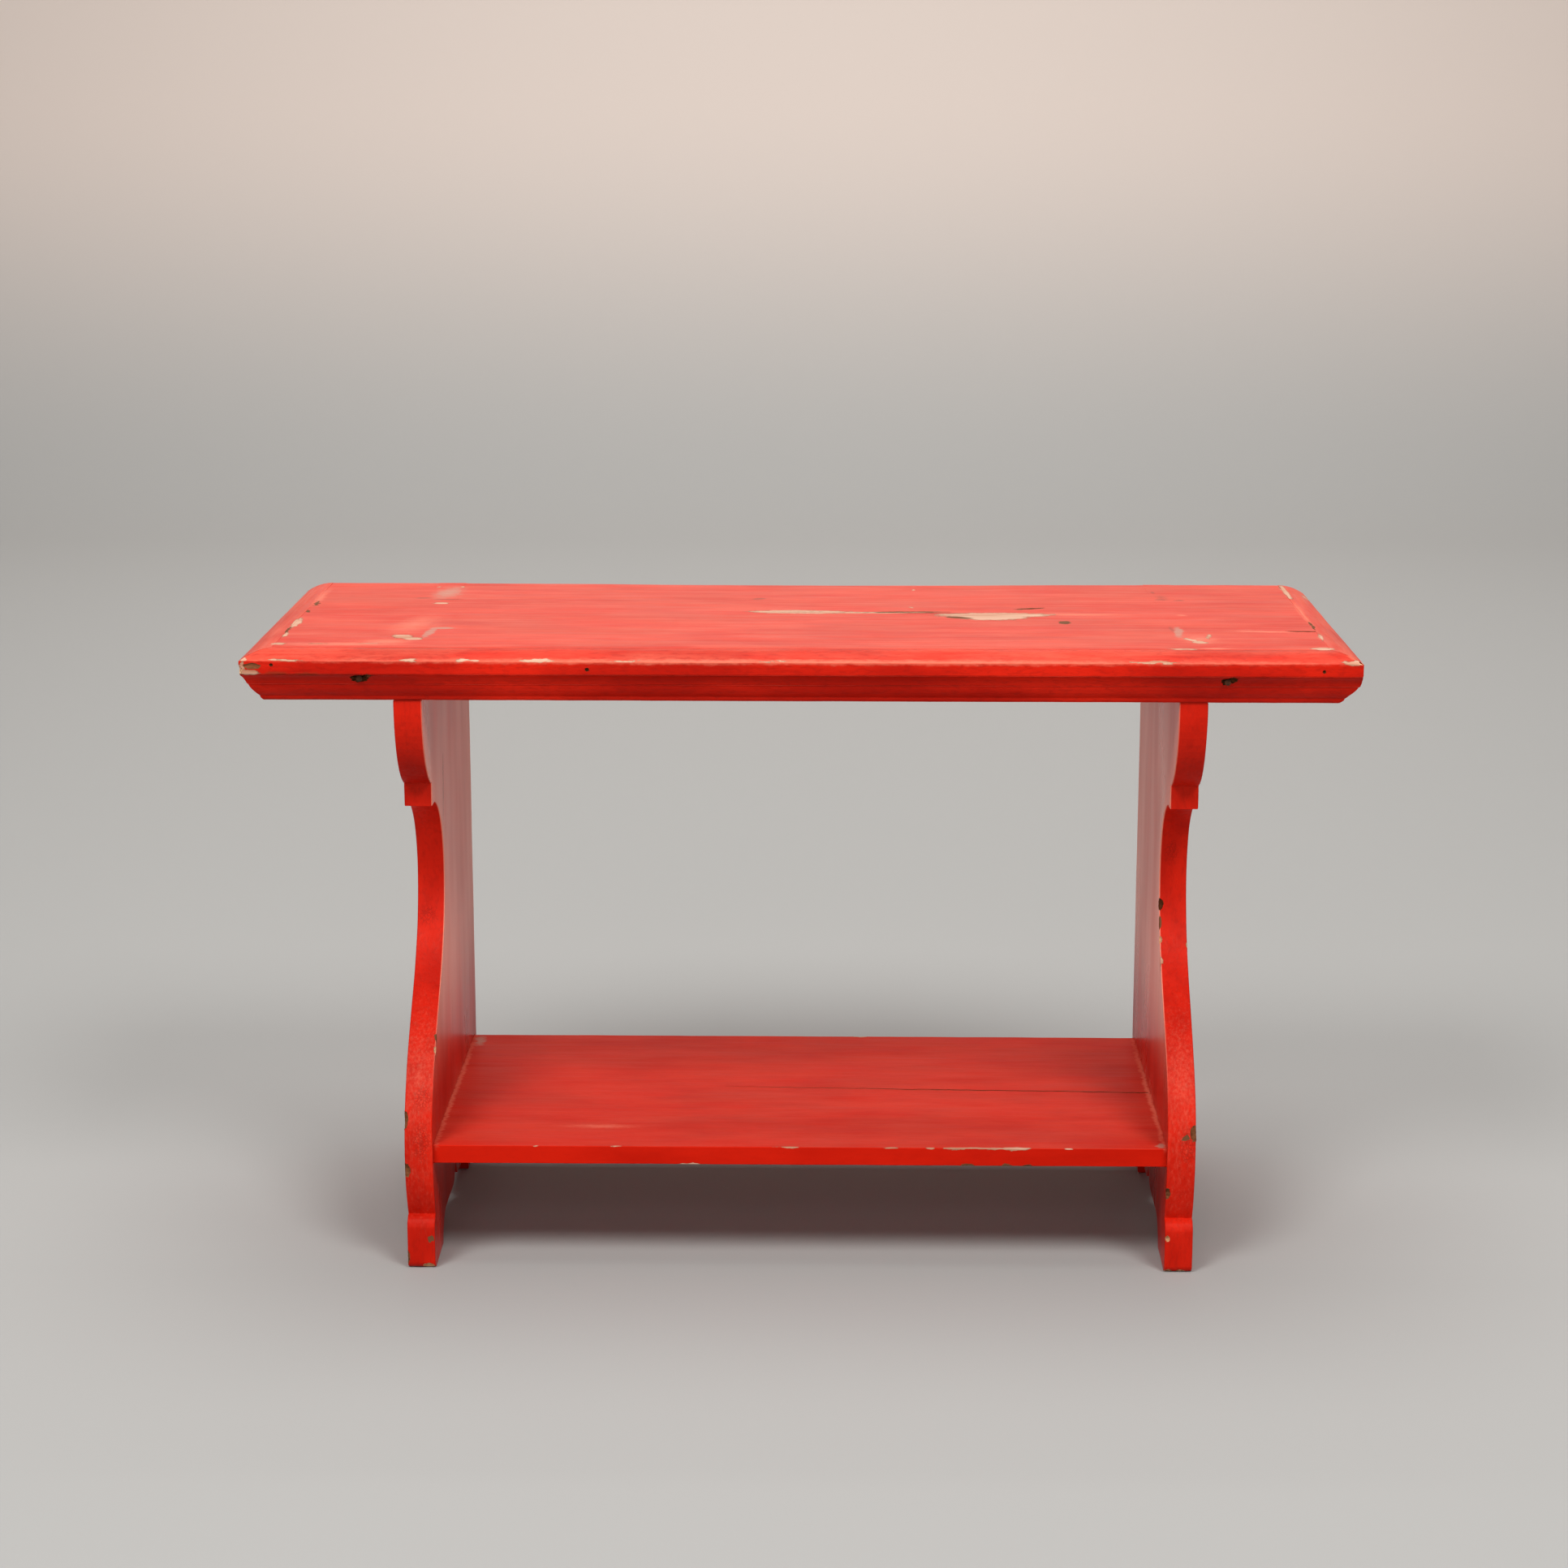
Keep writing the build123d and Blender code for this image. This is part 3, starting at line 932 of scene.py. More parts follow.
@dataclass(frozen=True)
class Crack:
    """A split along the grain, as a thin blade that tapers at both ends.

    Attributes:
        start: One end on the surface, in millimetres.
        end: The other end, in millimetres.
        inward: The direction into the wood.
        width: Its width at the middle, in millimetres.
        depth: Its depth at the middle, in millimetres.
        wander: How far it strays from straight, in millimetres.
        open_end: Whether it stays wide at its far end, as where it runs out of the board.
    """

    start: Place
    end: Place
    inward: Place
    width: float
    depth: float
    wander: float
    open_end: bool = False

    RING_PITCH = 6.0
    PROUD = 0.8  # how far the blade stands out of the surface, in millimetres
    TAPER = 0.7
    TIP = 0.06  # the narrowest that the blade gets, as a share of its width
    WAIST = 0.65  # the narrowest that a ring may be drawn, as the same
    MOUTH_TO_FLOOR = 4

    def cutter(self) -> Object:
        """Build the blade.

        Returns:
            The cutter.
        """
        first, last = Vector(self.start) * MM, Vector(self.end) * MM
        along, down = (last - first), Vector(self.inward).normalized()
        across = along.cross(down).normalized()
        rings = max(6, round(along.length / (self.RING_PITCH * MM)))
        draw = random.Random(round(10 * sum(self.start)))
        Bench.put_down()
        bpy.ops.mesh.primitive_grid_add(x_subdivisions=rings, y_subdivisions=1, size=2.0)
        blade = bpy.context.object
        blade.data.materials.append(DARK_HOLE.material())
        Bench.edit(blade)
        bpy.ops.mesh.extrude_region_move(TRANSFORM_OT_translate={"value": (0.0, 0.0, -1.0)})
        Bench.put_down()
        stray = [draw.uniform(-1, 1) * self.wander * MM for _ in range(rings + 1)]
        waist = [draw.uniform(self.WAIST, 1.0) for _ in range(rings + 1)]
        for vertex in blade.data.vertices:
            share = (vertex.co.x + 1) / 2
            ring = round(share * rings)
            taper = math.sin(math.pi * min(share, 0.5 if self.open_end else 1.0)) ** self.TAPER
            taper = max(taper, self.TIP) * waist[ring]
            at_mouth = vertex.co.z > -0.5
            half_width = self.width / 2 if at_mouth else self.width / 2 / self.MOUTH_TO_FLOOR
            sideways = stray[ring] + vertex.co.y * taper * half_width * MM
            sunk = -self.PROUD * MM if at_mouth else self.depth * taper * MM
            vertex.co = first + along * share + across * sideways + down * sunk
        Bench.edit(blade)
        bpy.ops.mesh.normals_make_consistent(inside=False)
        Bench.put_down()
        return blade


# ---------------------------------------------------------------- the bench's wear, and its painted shade and highlights


@dataclass(frozen=True)
class Face:
    """A face of the bench that worn places are set out on.

    Attributes:
        across: The axis that the face looks along.
        at: The face's place on that axis, in millimetres.
        depth: How far a spot on it reaches in, in millimetres.
    """

    across: Axis
    at: float
    depth: float

    def spots(self, wear: Wear, *rows: tuple[float, ...]) -> tuple[Spot, ...]:
        """Set out the spots of one kind.

        Args:
            wear: What shows there.
            *rows: For each spot its place and its half sizes on the face's two axes, and then its
                turn and share where it has them.

        Returns:
            The spots.
        """
        spots = []
        for first, second, half_first, half_second, *rest in rows:
            centre, half = [first, second], [half_first, half_second]
            centre.insert(self.across.value, self.at)
            half.insert(self.across.value, self.depth)
            spots.append(Spot(wear, tuple(centre), tuple(half), *rest))
        return tuple(spots)


TOP_FACE = Face(Axis.Z, TOP_Z, 12.0)
NOSE_FACE = Face(Axis.Y, NOSE_Y, 5.0)
SHELF_FACE = Face(Axis.Z, SHELF_Z, 6.0)

TOP_SPOTS = (
    *TOP_FACE.spots(
        Wear.BARE,
        # the long check in the middle and the bare patch at its right-hand end
        (-2, 29, 44, 9), (60, 26, 48, 4.5), (162, 13, 50, 12), (160, 2, 30, 15),
        (93, 53, 1.6, 3.5), (96, 148, 1.6, 3.0),
        # round the left-hand tenons and then the right-hand ones
        (-311.5, 64, 7, 5, 0, 0.75), (-302, 151, 2.0, 5, 0, 0.8), (-324, 150, 2.0, 4, 0, 0.7),
        (-323, -100, 9, 8, -30), (-313, -110, 8, 6),
        (315, -106, 3.2, 10, 24, 0.9), (321, -116, 6, 6), (331, -90, 2.4, 13, -10, 0.7),
        # along the seams at the left, the front and the right
        (-419.5, -37, 3.6, 24), (-419.5, -94, 2.2, 13, 0, 0.8), (-418, -135, 6, 5),
        (-386, -134, 12, 2.2, 0, 0.55), (-345, -132, 16, 2.0, 0, 0.5),
        (305, -148, 12, 3.2, 0, 0.85), (416, -145, 10, 5.0),
        (423, 136, 2.6, 40), (421.5, -92, 1.5, 17, 0, 0.8), (441, 138, 3.0, 10)),
    *TOP_FACE.spots(
        Wear.STAINED,
        (92, 29, 34, 2.6), (-2, 29, 40, 8, 0, 0.20), (60, 26, 46, 4.2, 0, 0.25),
        (130, 1, 12, 4, -20), (192, 45, 14, 3.2, 20), (218, -25, 5, 8),
        (-418, 60, 1.8, 13), (-419.5, 21, 1.6, 7), (-421, -72, 1.4, 14), (422, -38, 1.3, 20)),
    *TOP_FACE.spots(
        Wear.RUBBED,
        (232, 16, 42, 6), (-311, 118, 15, 42, 0, 0.5), (-320, -42, 19, 56, -12, 0.7),
        (-333, -124, 20, 12), (-420, 95, 5, 50, 0, 0.9), (-365, -136, 50, 8), (330, -145, 14, 5),
        (319, 12, 5, 5), (322, -104, 16, 22, 0, 0.8), (378, -66, 32, 5, -8),
        (422, 10, 2.6, 80, 0, 0.9), (436, -164, 9, 3, -45)),
    *TOP_FACE.spots(
        Wear.GRIME,
        (-39, 97, 6, 6), (-308, 84, 15, 3.0, 0, 0.9), (-330, 90, 9, 3.0),
        (311, 104, 6, 16, 10, 0.6), (310, 93, 6.5, 4.5), (324.5, 89, 4.5, 4.0),
        (306, 131, 2.2, 7, 0, 0.9), (304, -56, 2.0, 15, 0, 0.8)),
    *TOP_FACE.spots(
        Wear.PUTTY,
        (-311, 119, 14, 38, -6, 0.62), (-303.5, -80, 3.8, 25, -4), (-295, -60, 10, 4.5),
        (308.5, -69, 3.8, 25, -4)),
)

NOSE_SPOTS = (
    *NOSE_FACE.spots(
        Wear.BARE,
        # the corners, and then the runs along the arris
        (-441, 517, 3.5, 2.4), (-436, 506.0, 8, 2.0), (-441.5, 510.5, 2.6, 4.5), (437, 517.5, 9, 2.4),
        (-407, 516.3, 14, 1.3, 0, 0.8), (-309, 516.3, 9, 1.2, 0, 0.8), (-262, 516.3, 11, 1.2, 0, 0.8),
        (-208, 516.3, 16, 1.2, 0, 0.8), (-137, 516.3, 16, 1.0, 0, 0.6), (-22, 516.3, 17, 1.0, 0, 0.6),
        (277, 516.3, 24, 1.2, 0, 0.8)),
    # a pale band along the front arris: painted highlight on its rounding, and rubbed paint
    *NOSE_FACE.spots(Wear.RUBBED, (0, SEAM_Z, 440, 2.6)),
    # darker in the quirk under the nose: dirt, and painted shade in the recess
    *NOSE_FACE.spots(Wear.GRIME, (-414, 505.5, 10, 2.2), (-390, 505.0, 10, 2.0)),
)

SHELF_SPOTS = (
    # painted shade: the rear under the top, and beside the end boards
    *SHELF_FACE.spots(Wear.SHADED, (-60, 120, 420, 105, 0, 0.40), (270, 70, 150, 100, 0, 0.55),
                      (-262, 20, 75, 110, -12, 0.55)),
    # a rubbed scuff at the front, and pale lines by the end boards: rubbed paint and painted glint
    *SHELF_FACE.spots(Wear.RUBBED, (-166, -101, 34, 6, 0, 0.7), (-300, 0, 2.6, 170),
                      (300, 0, 2.6, 170)),
    *SHELF_FACE.spots(Wear.PUTTY, (-294, 140, 6, 17, 0, 0.7), (297, -143, 3.5, 6)),
    *SHELF_FACE.spots(Wear.GRIME, (190, 1, 110, 1.6)),
    *SHELF_FACE.spots(Wear.BARE, (52, 159, 6, 3)),
    # chips along the front arrises, upper and lower
    *(Spot(Wear.BARE, (x, SHELF_FRONT_Y, SHELF_Z), (half, 1.6, 1.4))
      for x, half in ((-217, 3), (-153, 8), (-10, 11), (75, 6), (108, 5), (221, 5))),
    *(Spot(Wear.BARE, (x, SHELF_FRONT_Y, SHELF_Z), (16, 2.2, 1.8)) for x in (130, 144, 160, 176)),
    Spot(Wear.BARE, (-92, SHELF_FRONT_Y, SHELF_Z - 16), (18, 1.6, 1.2)),
    *(Spot(Wear.STAINED, (x, SHELF_FRONT_Y, SHELF_Z - 16), (half, 2.0, 2.2))
      for x, half in ((139, 6), (171, 4), (188, 5))),
)

LEFT_CORNER_CHIP = Gouge((-446.4, -176.2, 508.6), (6.4, 6.4, 4.8))
RIGHT_CORNER_CHIP = Gouge((444.6, -175.2, 522.0), (9.5, 8.0, 6.6), turn=-12)


# ---------------------------------------------------------------- the bench's boards


def front_of(node: str, height: float) -> float:
    """Find how far forward a node of the frame reaches at a height.

    Args:
        node: The node's name.
        height: The height, in millimetres.

    Returns:
        The lowest Y there, in millimetres.
    """
    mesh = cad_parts[node].data
    found = []
    for edge in mesh.edges:
        first, second = (mesh.vertices[i].co / MM for i in edge.vertices)
        if (first.z - height) * (second.z - height) <= 0 and first.z != second.z:
            share = (height - first.z) / (second.z - first.z)
            found.append(first.y + (second.y - first.y) * share)
    return min(found)


def long_edge(first: Vector, second: Vector) -> bool:
    """Return whether an edge is long, and so belongs to a board and not to a nail hole."""
    return (second - first).length > 9.0


def mortise_planes(*sides: Side) -> tuple[Plane, ...]:
    """Return the planes where the plank and the tenons at some ends stay closed."""
    return (*((Axis.X, side.value * x) for side in sides for x in MORTISE_X),
            *((Axis.Y, y) for y in MORTISE_Y))


@dataclass
class Board:
    """One board or moulding of the bench, copied from the frame and dressed.

    Attributes:
        node: The node that it stands for.
        grain: The grain's axis.
        paint: Its paint.
        seed: Moves the paint's patterns.
        spots: Its worn places.
        cuts: Its chips, holes and cracks.
        joints: The planes where it meets a flush board, as an axis and a place in millimetres.
        arris: The rounding of its open arrises, in millimetres.
        fine: The deepest of the small hollows in its faces, in millimetres.
        pitch: The step of its faces along the grain and across it, in millimetres.
    """

    node: str
    grain: Axis
    paint: RedPaint
    seed: int
    spots: tuple[Spot, ...] = ()
    cuts: tuple[Gouge | Crack, ...] = ()
    joints: tuple[Plane, ...] = ()
    arris: float = 1.2
    fine: float = 0.03
    pitch: tuple[float, float] = (6.0, 12.0)

    SEAM_ROUND = 0.3
    HOLLOWS = 0.5  # the depth of the broad hollows, in millimetres
    HOLLOW_SIZE = 55.0
    FINE_SIZE = 9.0
    FEWEST_STEPS = 3  # the narrowest face that is cut across the grain, in steps
    SEED_STEP = 0.37  # how far a seed of 1 moves the paint's patterns, in metres

    def is_arris(self, first: Vector, second: Vector) -> bool:
        """Return whether a sharp edge lies open to wear."""
        return long_edge(first, second)

    def is_seam(self, first: Vector, second: Vector) -> bool:
        """Return whether a sharp edge lies along a joint that shows."""
        return False

    def fit(self, piece: Object) -> None:
        """Change the copy where paint has closed a gap."""

    def settle(self, piece: Object) -> None:
        """Change the board's shape where it has moved with age."""

    def touch_up(self, piece: Object) -> None:
        """Give parts of the finished board another board's paint."""

    def build(self) -> Object:
        """Model the board, give it its paint and set it on the bench.

        Returns:
            The piece.
        """
        piece = Bench.copy_of(self.node, f"painted_{self.node}")
        low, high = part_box(self.node)
        spots = tuple(spot for spot in self.spots if spot.near(low, high))
        piece.data.materials.append(self.paint.material(
            PAINT_NAME.format(self.node), self.grain, spots, self.SEED_STEP * self.seed))
        self.fit(piece)
        arrises = Bench.round_arrises(piece, self.arris, self.is_arris)
        Bench.round_arrises(piece, self.SEAM_ROUND, self.is_seam)
        Bench.carve(piece, [cut.cutter() for cut in self.cuts])
        Bench.saw_lines(piece, self.grain, self.pitch[0])
        narrow = self.FEWEST_STEPS * self.pitch[1] * MM
        for axis in Axis:
            if axis is not self.grain and (high - low)[axis.value] > narrow:
                Bench.saw_lines(piece, axis, self.pitch[1])
        self.settle(piece)
        Bench.weather(piece, self.HOLLOWS, self.HOLLOW_SIZE, self.joints)
        Bench.weather(piece, self.fine, self.FINE_SIZE, self.joints)
        Bench.mark_arrises(piece, arrises)
        Bench.smooth(piece)
        self.touch_up(piece)
        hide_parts(self.node)
        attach(piece, ROOT_BODY)
        LOG.info("%s: %d faces", piece.name, len(piece.data.polygons))
        return piece


@dataclass
class TopBoard(Board):
    """The wide plank of the top, with the mortises that the tenons come through.

    Attributes:
        rear: The Y of its rear face, in millimetres.
        bow: How far the middle of its rear edge has sunk, in millimetres.
        bow_reach: How far that draws its face down with it, in metres.
    """

    rear: float = 173.5
    bow: float = 1.2
    bow_reach: float = 0.36

    def is_seam(self, first: Vector, second: Vector) -> bool:
        """Return whether an edge lies on the upper face beside an end moulding."""
        on_upper_face = min(first.z, second.z) > TOP_Z - SAME
        return on_upper_face and min(abs(first.x), abs(second.x)) > SEAM_X - SAME

    def is_arris(self, first: Vector, second: Vector) -> bool:
        """Find whether an edge runs along the rear face, and not in an open mortise.

        Args:
            first: One end of the edge, in millimetres.
            second: Its other end, in millimetres.

        Returns:
            Whether it does.
        """
        lengthways = abs(second.x - first.x) > abs(second.z - first.z)
        at_rear = min(first.y, second.y) > self.rear - SAME
        return at_rear and lengthways and long_edge(first, second)

    def settle(self, piece: Object) -> None:
        """Let the middle of the rear edge sink a little.

        Args:
            piece: The top.
        """
        Bench.choose_points(piece, lambda at: abs(at.x) < 8.0 and at.y > self.rear - 0.5)
        bpy.ops.transform.translate(
            value=(0.0, 0.0, -self.bow * MM), use_proportional_edit=True,
            proportional_edit_falloff="SMOOTH", proportional_size=self.bow_reach)
        Bench.put_down()


@dataclass
class Moulding(Board):
    """A length of moulding, mitred at the front corners.

    Attributes:
        back: How far its back lies from its nose, in millimetres.
        stopped: The X and Z of the nail holes that putty has closed, in millimetres.
        plug: The radius and the length of the putty in such a hole, in millimetres.
    """

    arris: float = 0.8
    fine: float = 0.10
    pitch: tuple[float, float] = (4.0, 12.0)
    back: float = 23.0
    stopped: tuple[tuple[float, float], ...] = ()
    plug: tuple[float, float] = (2.86, 6.0)

    # how much fuller the front corners' outlines are than the moulding's, by height
    CORNER_HEIGHTS = (481.5, 484.0, 488.0, 492.0, 496.0, 500.0, 503.0, 505.0)
    CORNER_SWELLS = (0.5, 2.6, 2.6, 4.4, 6.0, 5.8, 4.0, 0.0)
    LEFT_SHARE = 0.4
    # where the swell begins in Y, and how far it takes to grow in Y and in from the back
    SWELL_Y = -118.0
    SWELL_RUN_Y = 30.0
    SWELL_RUN_X = 4.0

    def fit(self, piece: Object) -> None:
        """Close the stopped nail holes.

        Args:
            piece: The moulding.
        """
        radius, length = self.plug
        for x, z in self.stopped:
            Bench.put_down()
            bpy.ops.mesh.primitive_cylinder_add(
                vertices=48, radius=radius * MM, depth=length * MM,
                rotation=(math.radians(90), 0.0, 0.0),
                location=(x * MM, (NOSE_Y + length / 2) * MM, z * MM))
            bpy.ops.object.transform_apply(location=True, rotation=True, scale=True)
            Bench.fill(piece, bpy.context.object)

    def settle(self, piece: Object) -> None:
        """Fill out the profile at the front corners, where it was cut by hand.

        Args:
            piece: The moulding.
        """
        for vertex in piece.data.vertices:
            x, y, z = vertex.co / MM
            inward = END_X - abs(x)
            if inward > self.back or inward < 0.2:
                continue
            swell = float(np.interp(z, self.CORNER_HEIGHTS, self.CORNER_SWELLS))
            swell *= 1.0 if x > 0 else self.LEFT_SHARE
            swell *= min(1.0, (self.back - inward) / self.SWELL_RUN_X)
            swell *= min(1.0, max(0.0, (self.SWELL_Y - y) / self.SWELL_RUN_Y))
            vertex.co.x += math.copysign(min(swell, inward - 0.1), x) * MM

    def behind(self, point: Vector) -> float:
        """Return how far behind the nose a point lies, in millimetres."""
        return point.y - NOSE_Y if self.grain is Axis.X else END_X - abs(point.x)

    def is_seam(self, first: Vector, second: Vector) -> bool:
        """Find whether an edge of an end moulding lies on the upper face against the plank.

        Args:
            first: One end of the edge, in millimetres.
            second: Its other end, in millimetres.

        Returns:
            Whether it does.
        """
        if self.grain is Axis.X:
            return False
        at_back = min(self.behind(first), self.behind(second)) > self.back - SAME
        return long_edge(first, second) and at_back and min(first.z, second.z) > TOP_Z - SAME

    def is_arris(self, first: Vector, second: Vector) -> bool:
        """Find whether an edge runs along the moulding's face.

        Args:
            first: One end of the edge, in millimetres.
            second: Its other end, in millimetres.

        Returns:
            Whether it does.
        """
        run = second - first
        lengthways = abs(run[self.grain.value]) > 0.9 * run.length
        in_front = max(self.behind(first), self.behind(second)) < self.back - SAME
        return long_edge(first, second) and lengthways and in_front


@dataclass
class EndBoard(Board):
    """A scrolled end board.

    Attributes:
        side: Which end of the bench it stands at.
        outer: The outer face's distance from the middle, in millimetres.
        thickness: The board's thickness, in millimetres.
        shoulder: The height of the shoulder under the top, in millimetres.
        housing: The heights of the housing's lower and upper edge, in millimetres.
        nail_low: The height above which the outer face has nails, in millimetres.
        outline: The Y in front of and behind which lies the board's outline, in millimetres.
        tenons: The two ends in Y of each tenon, in millimetres.
        tenon_gap: The gap round a tenon that paint has closed, in millimetres.
        tenon_root: How far above the shoulder a tenon starts to widen, in millimetres.
        foot_round: The rounding of the worn edges that stand on the floor, in millimetres.
    """

    side: Side = Side.LEFT
    outer: float = 325.0
    thickness: float = 23.5
    shoulder: float = 481.0
    housing: tuple[float, float] = (90.0, 108.0)
    nail_low: float = 94.0
    outline: tuple[float, float] = (-120.0, 170.0)
    tenons: tuple[tuple[float, float], ...] = ((-116.5, -56.5), (77.5, 173.5))
    tenon_gap: float = 0.3
    tenon_root: float = 20.0
    foot_round: float = 2.4

    def on_face(self, face: float, *points: Vector) -> bool:
        """Return whether points lie on the face at a distance from the middle."""
        return all(abs(abs(point.x) - face) < 0.05 for point in points)

    def on_outline(self, point: Vector) -> bool:
        """Return whether a point is near the board's own front or rear."""
        front, rear = self.outline
        return point.y > rear or point.y < front

    def is_arris(self, first: Vector, second: Vector) -> bool:
        """Find whether an edge lies on the outline of one of the board's two faces.

        Args:
            first: One end of the edge, in millimetres.
            second: Its other end, in millimetres.

        Returns:
            Whether it does, below the shoulder, and not in the housing or round a nail.
        """
        low, high = sorted((first.z, second.z))
        if high >= self.shoulder + SAME:
            return False
        if self.on_face(self.outer, first, second):
            round_nail = low > self.nail_low and high < self.housing[1]
            return not round_nail or long_edge(first, second) or self.on_outline(first)
        in_housing = low > self.housing[0] and high < self.housing[1]
        return self.on_face(self.outer - self.thickness, first, second) and not in_housing

    def fit(self, piece: Object) -> None:
        """Wear the feet round, and widen the tenons by the gap that paint has closed.

        Args:
            piece: The board.
        """
        Bench.round_arrises(piece, self.foot_round,
                            lambda first, second: max(first.z, second.z) < 0.05)
        Bench.edit(piece)
        roots = (0.0, 0.0, (self.shoulder + self.tenon_root) * MM)
        bpy.ops.mesh.bisect(plane_co=roots, plane_no=(0.0, 0.0, 1.0))
        for front, rear in self.tenons:
            Bench.choose_points(
                piece, lambda at: at.z > TOP_Z - 0.5 and front - 1.0 < at.y < rear + 1.0)
            flush_at_back = rear > self.outline[1]
            gain = self.tenon_gap * (1.0 if flush_at_back else 2.0)
            centre = (self.across(0.5), rear if flush_at_back else (front + rear) / 2, TOP_Z)
            bpy.ops.transform.resize(
                value=(1.0 + 2.0 * self.tenon_gap / self.thickness, 1.0 + gain / (rear - front), 1.0),
                center_override=[c * MM for c in centre])
        Bench.put_down()

    def touch_up(self, piece: Object) -> None:
        """Carry the top's paint over the tenons.

        Args:
            piece: The board.
        """
        piece.data.materials.append(bpy.data.materials[PAINT_NAME.format("top_board")])
        last = len(piece.data.materials) - 1
        for face in piece.data.polygons:
            if face.center.z > (TOP_Z - 2.0) * MM and face.normal.z > 0.5:
                face.material_index = last

    def across(self, share: float) -> float:
        """Return the X at a share of the thickness, from 0 outside to 1 inside."""
        return self.side.value * (self.outer - self.thickness * share)

    def on_front(self, height: float, share: float) -> Place:
        """Return a place on the scrolled front."""
        return self.across(share), front_of(self.node, height), height

    def spot(self, wear: Wear, height: float, share: float, half: Place,
             strength: float = 1.0) -> Spot:
        """Return a spot on the scrolled front."""
        return Spot(wear, self.on_front(height, share), half, 0.0, strength)

    def nick(self, height: float, share: float, half: Place, finish: BaredWood) -> Gouge:
        """Return a chip out of the scrolled front."""
        return Gouge(self.on_front(height, share), half, finish)


@dataclass
class Nails:
    """A group of old nails.

    Attributes:
        node: The node that holds them.
    """

    node: str

    def build(self, iron: Material) -> None:
        """Give the nails their rust.

        Args:
            iron: The nails' finish.
        """
        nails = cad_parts[self.node]
        nails.data.materials.clear()
        nails.data.materials.append(iron)
        LOG.info("%s: rusted", self.node)


# ---------------------------------------------------------------- the studio


@dataclass
class Studio:
    """The floor, the backdrop, the lights and the camera.

    Attributes:
        camera_place: The camera's place, in metres.
        camera_tilt: The camera's tilt from straight down, in degrees.
        camera_pan: The camera's turn to the left, in degrees.
        lens: The focal length, in millimetres.
        sensor: The sensor's width, in millimetres.
        world_light: The strength of the light from all round.
        world_colour: The colour of that light.
        half_floor: Half the floor's width and depth, in metres.
        backdrop: Where the backdrop stands in Y, and its height, in metres.
        cove: How far the floor's bend into the backdrop reaches, in metres.
    """

    camera_place: Place = (0.03085, -2.7074, 0.985)
    camera_tilt: float = 77.38
    camera_pan: float = 0.975
    lens: float = 50.0
    sensor: float = 24.0
    world_light: float = 0.13
    world_colour: Colour = (1.0, 0.99, 0.975, 1.0)
    half_floor: tuple[float, float] = (9.0, 7.0)
    backdrop: tuple[float, float] = (6.0, 7.0)
    cove: float = 2.0

    def floor(self) -> None:
        """Lay the floor and raise the backdrop behind it."""
        rear, height = self.backdrop
        half_width, half_depth = self.half_floor
        Bench.put_down()
        bpy.ops.mesh.primitive_plane_add(size=2.0, location=ORIGIN)
        sweep = bpy.context.object
        sweep.name = "studio_sweep"
        Bench.edit(sweep, "EDGE")
        bpy.ops.transform.resize(value=(half_width, half_depth, 1.0))
        bpy.ops.transform.translate(value=(0.0, rear - half_depth, 0.0))
        at_rear = (rear - 0.1) / MM
        Bench.choose_edges(sweep, lambda first, second: min(first.y, second.y) > at_rear)
        bpy.ops.mesh.extrude_region_move(TRANSFORM_OT_translate={"value": (0.0, 0.0, height)})
        bpy.ops.mesh.select_all(action="SELECT")
        Bench.choose_edges(sweep, lambda first, second: (min(first.y, second.y) > at_rear
                                                         and max(first.z, second.z) < SAME))
        bpy.ops.mesh.bevel(offset=self.cove, segments=16, affect="EDGES")
        Bench.pick_up(sweep)
        bpy.ops.object.shade_smooth_by_angle(angle=Bench.SMOOTH)
        sweep.data.materials.append(StudioGrey().material())

    def lamp(self, name: str, place: Place, aim: Place, size: float, power: float) -> None:
        """Hang a soft lamp.

        Args:
            name: The lamp's name.
            place: Its place, in metres.
            aim: The point that it faces, in metres.
            size: Its width, in metres.
            power: Its power, in watts.
        """
        light = bpy.data.lights.new(name, "AREA")
        light.shape = "DISK"
        light.size = size
        light.energy = power
        lamp = bpy.data.objects.new(name, light)
        lamp.location = place
        lamp.rotation_euler = (Vector(aim) - Vector(place)).to_track_quat("-Z", "Y").to_euler()
        bpy.context.scene.collection.objects.link(lamp)

    def lights(self) -> None:
        """Hang the lamps and set the light from all round."""
        self.lamp("key_left", (-1.7, -2.6, 3.6), (0.0, 0.0, 0.3), 1.6, 104.0)
        self.lamp("key_right", (1.7, -2.6, 3.6), (0.0, 0.0, 0.3), 1.6, 104.0)
        self.lamp("overhead", (0.0, 0.3, 4.0), (0.0, 0.1, 0.4), 2.8, 80.0)
        self.lamp("front_fill", (-0.4, -4.4, 1.8), (0.0, 0.0, 0.4), 2.4, 45.0)
        self.lamp("backdrop_wash", (0.0, 2.8, 4.4), (0.0, 6.0, 1.6), 3.0, 160.0)
        world = bpy.data.worlds.new("soft_room")
        world.use_nodes = True
        room = world.node_tree.nodes["Background"]
        room.inputs["Color"].default_value = self.world_colour
        room.inputs["Strength"].default_value = self.world_light
        bpy.context.scene.world = world

    def camera(self) -> None:
        """Stand the camera in front of the bench."""
        lens = bpy.data.cameras.new("camera")
        lens.lens = self.lens
        lens.sensor_width = self.sensor
        lens.sensor_fit = "HORIZONTAL"
        lens.clip_end = 100.0
        stand = bpy.data.objects.new("camera", lens)
        stand.location = self.camera_place
        stand.rotation_euler = (math.radians(self.camera_tilt), 0.0, math.radians(self.camera_pan))
        bpy.context.scene.collection.objects.link(stand)
        bpy.context.scene.camera = stand

    def build(self) -> None:
        """Set the studio up."""
        self.floor()
        self.lights()
        self.camera()
        bpy.context.scene.view_settings.view_transform = "Standard"
        LOG.info("studio: floor, lights and camera set")


# ---------------------------------------------------------------- the whole bench


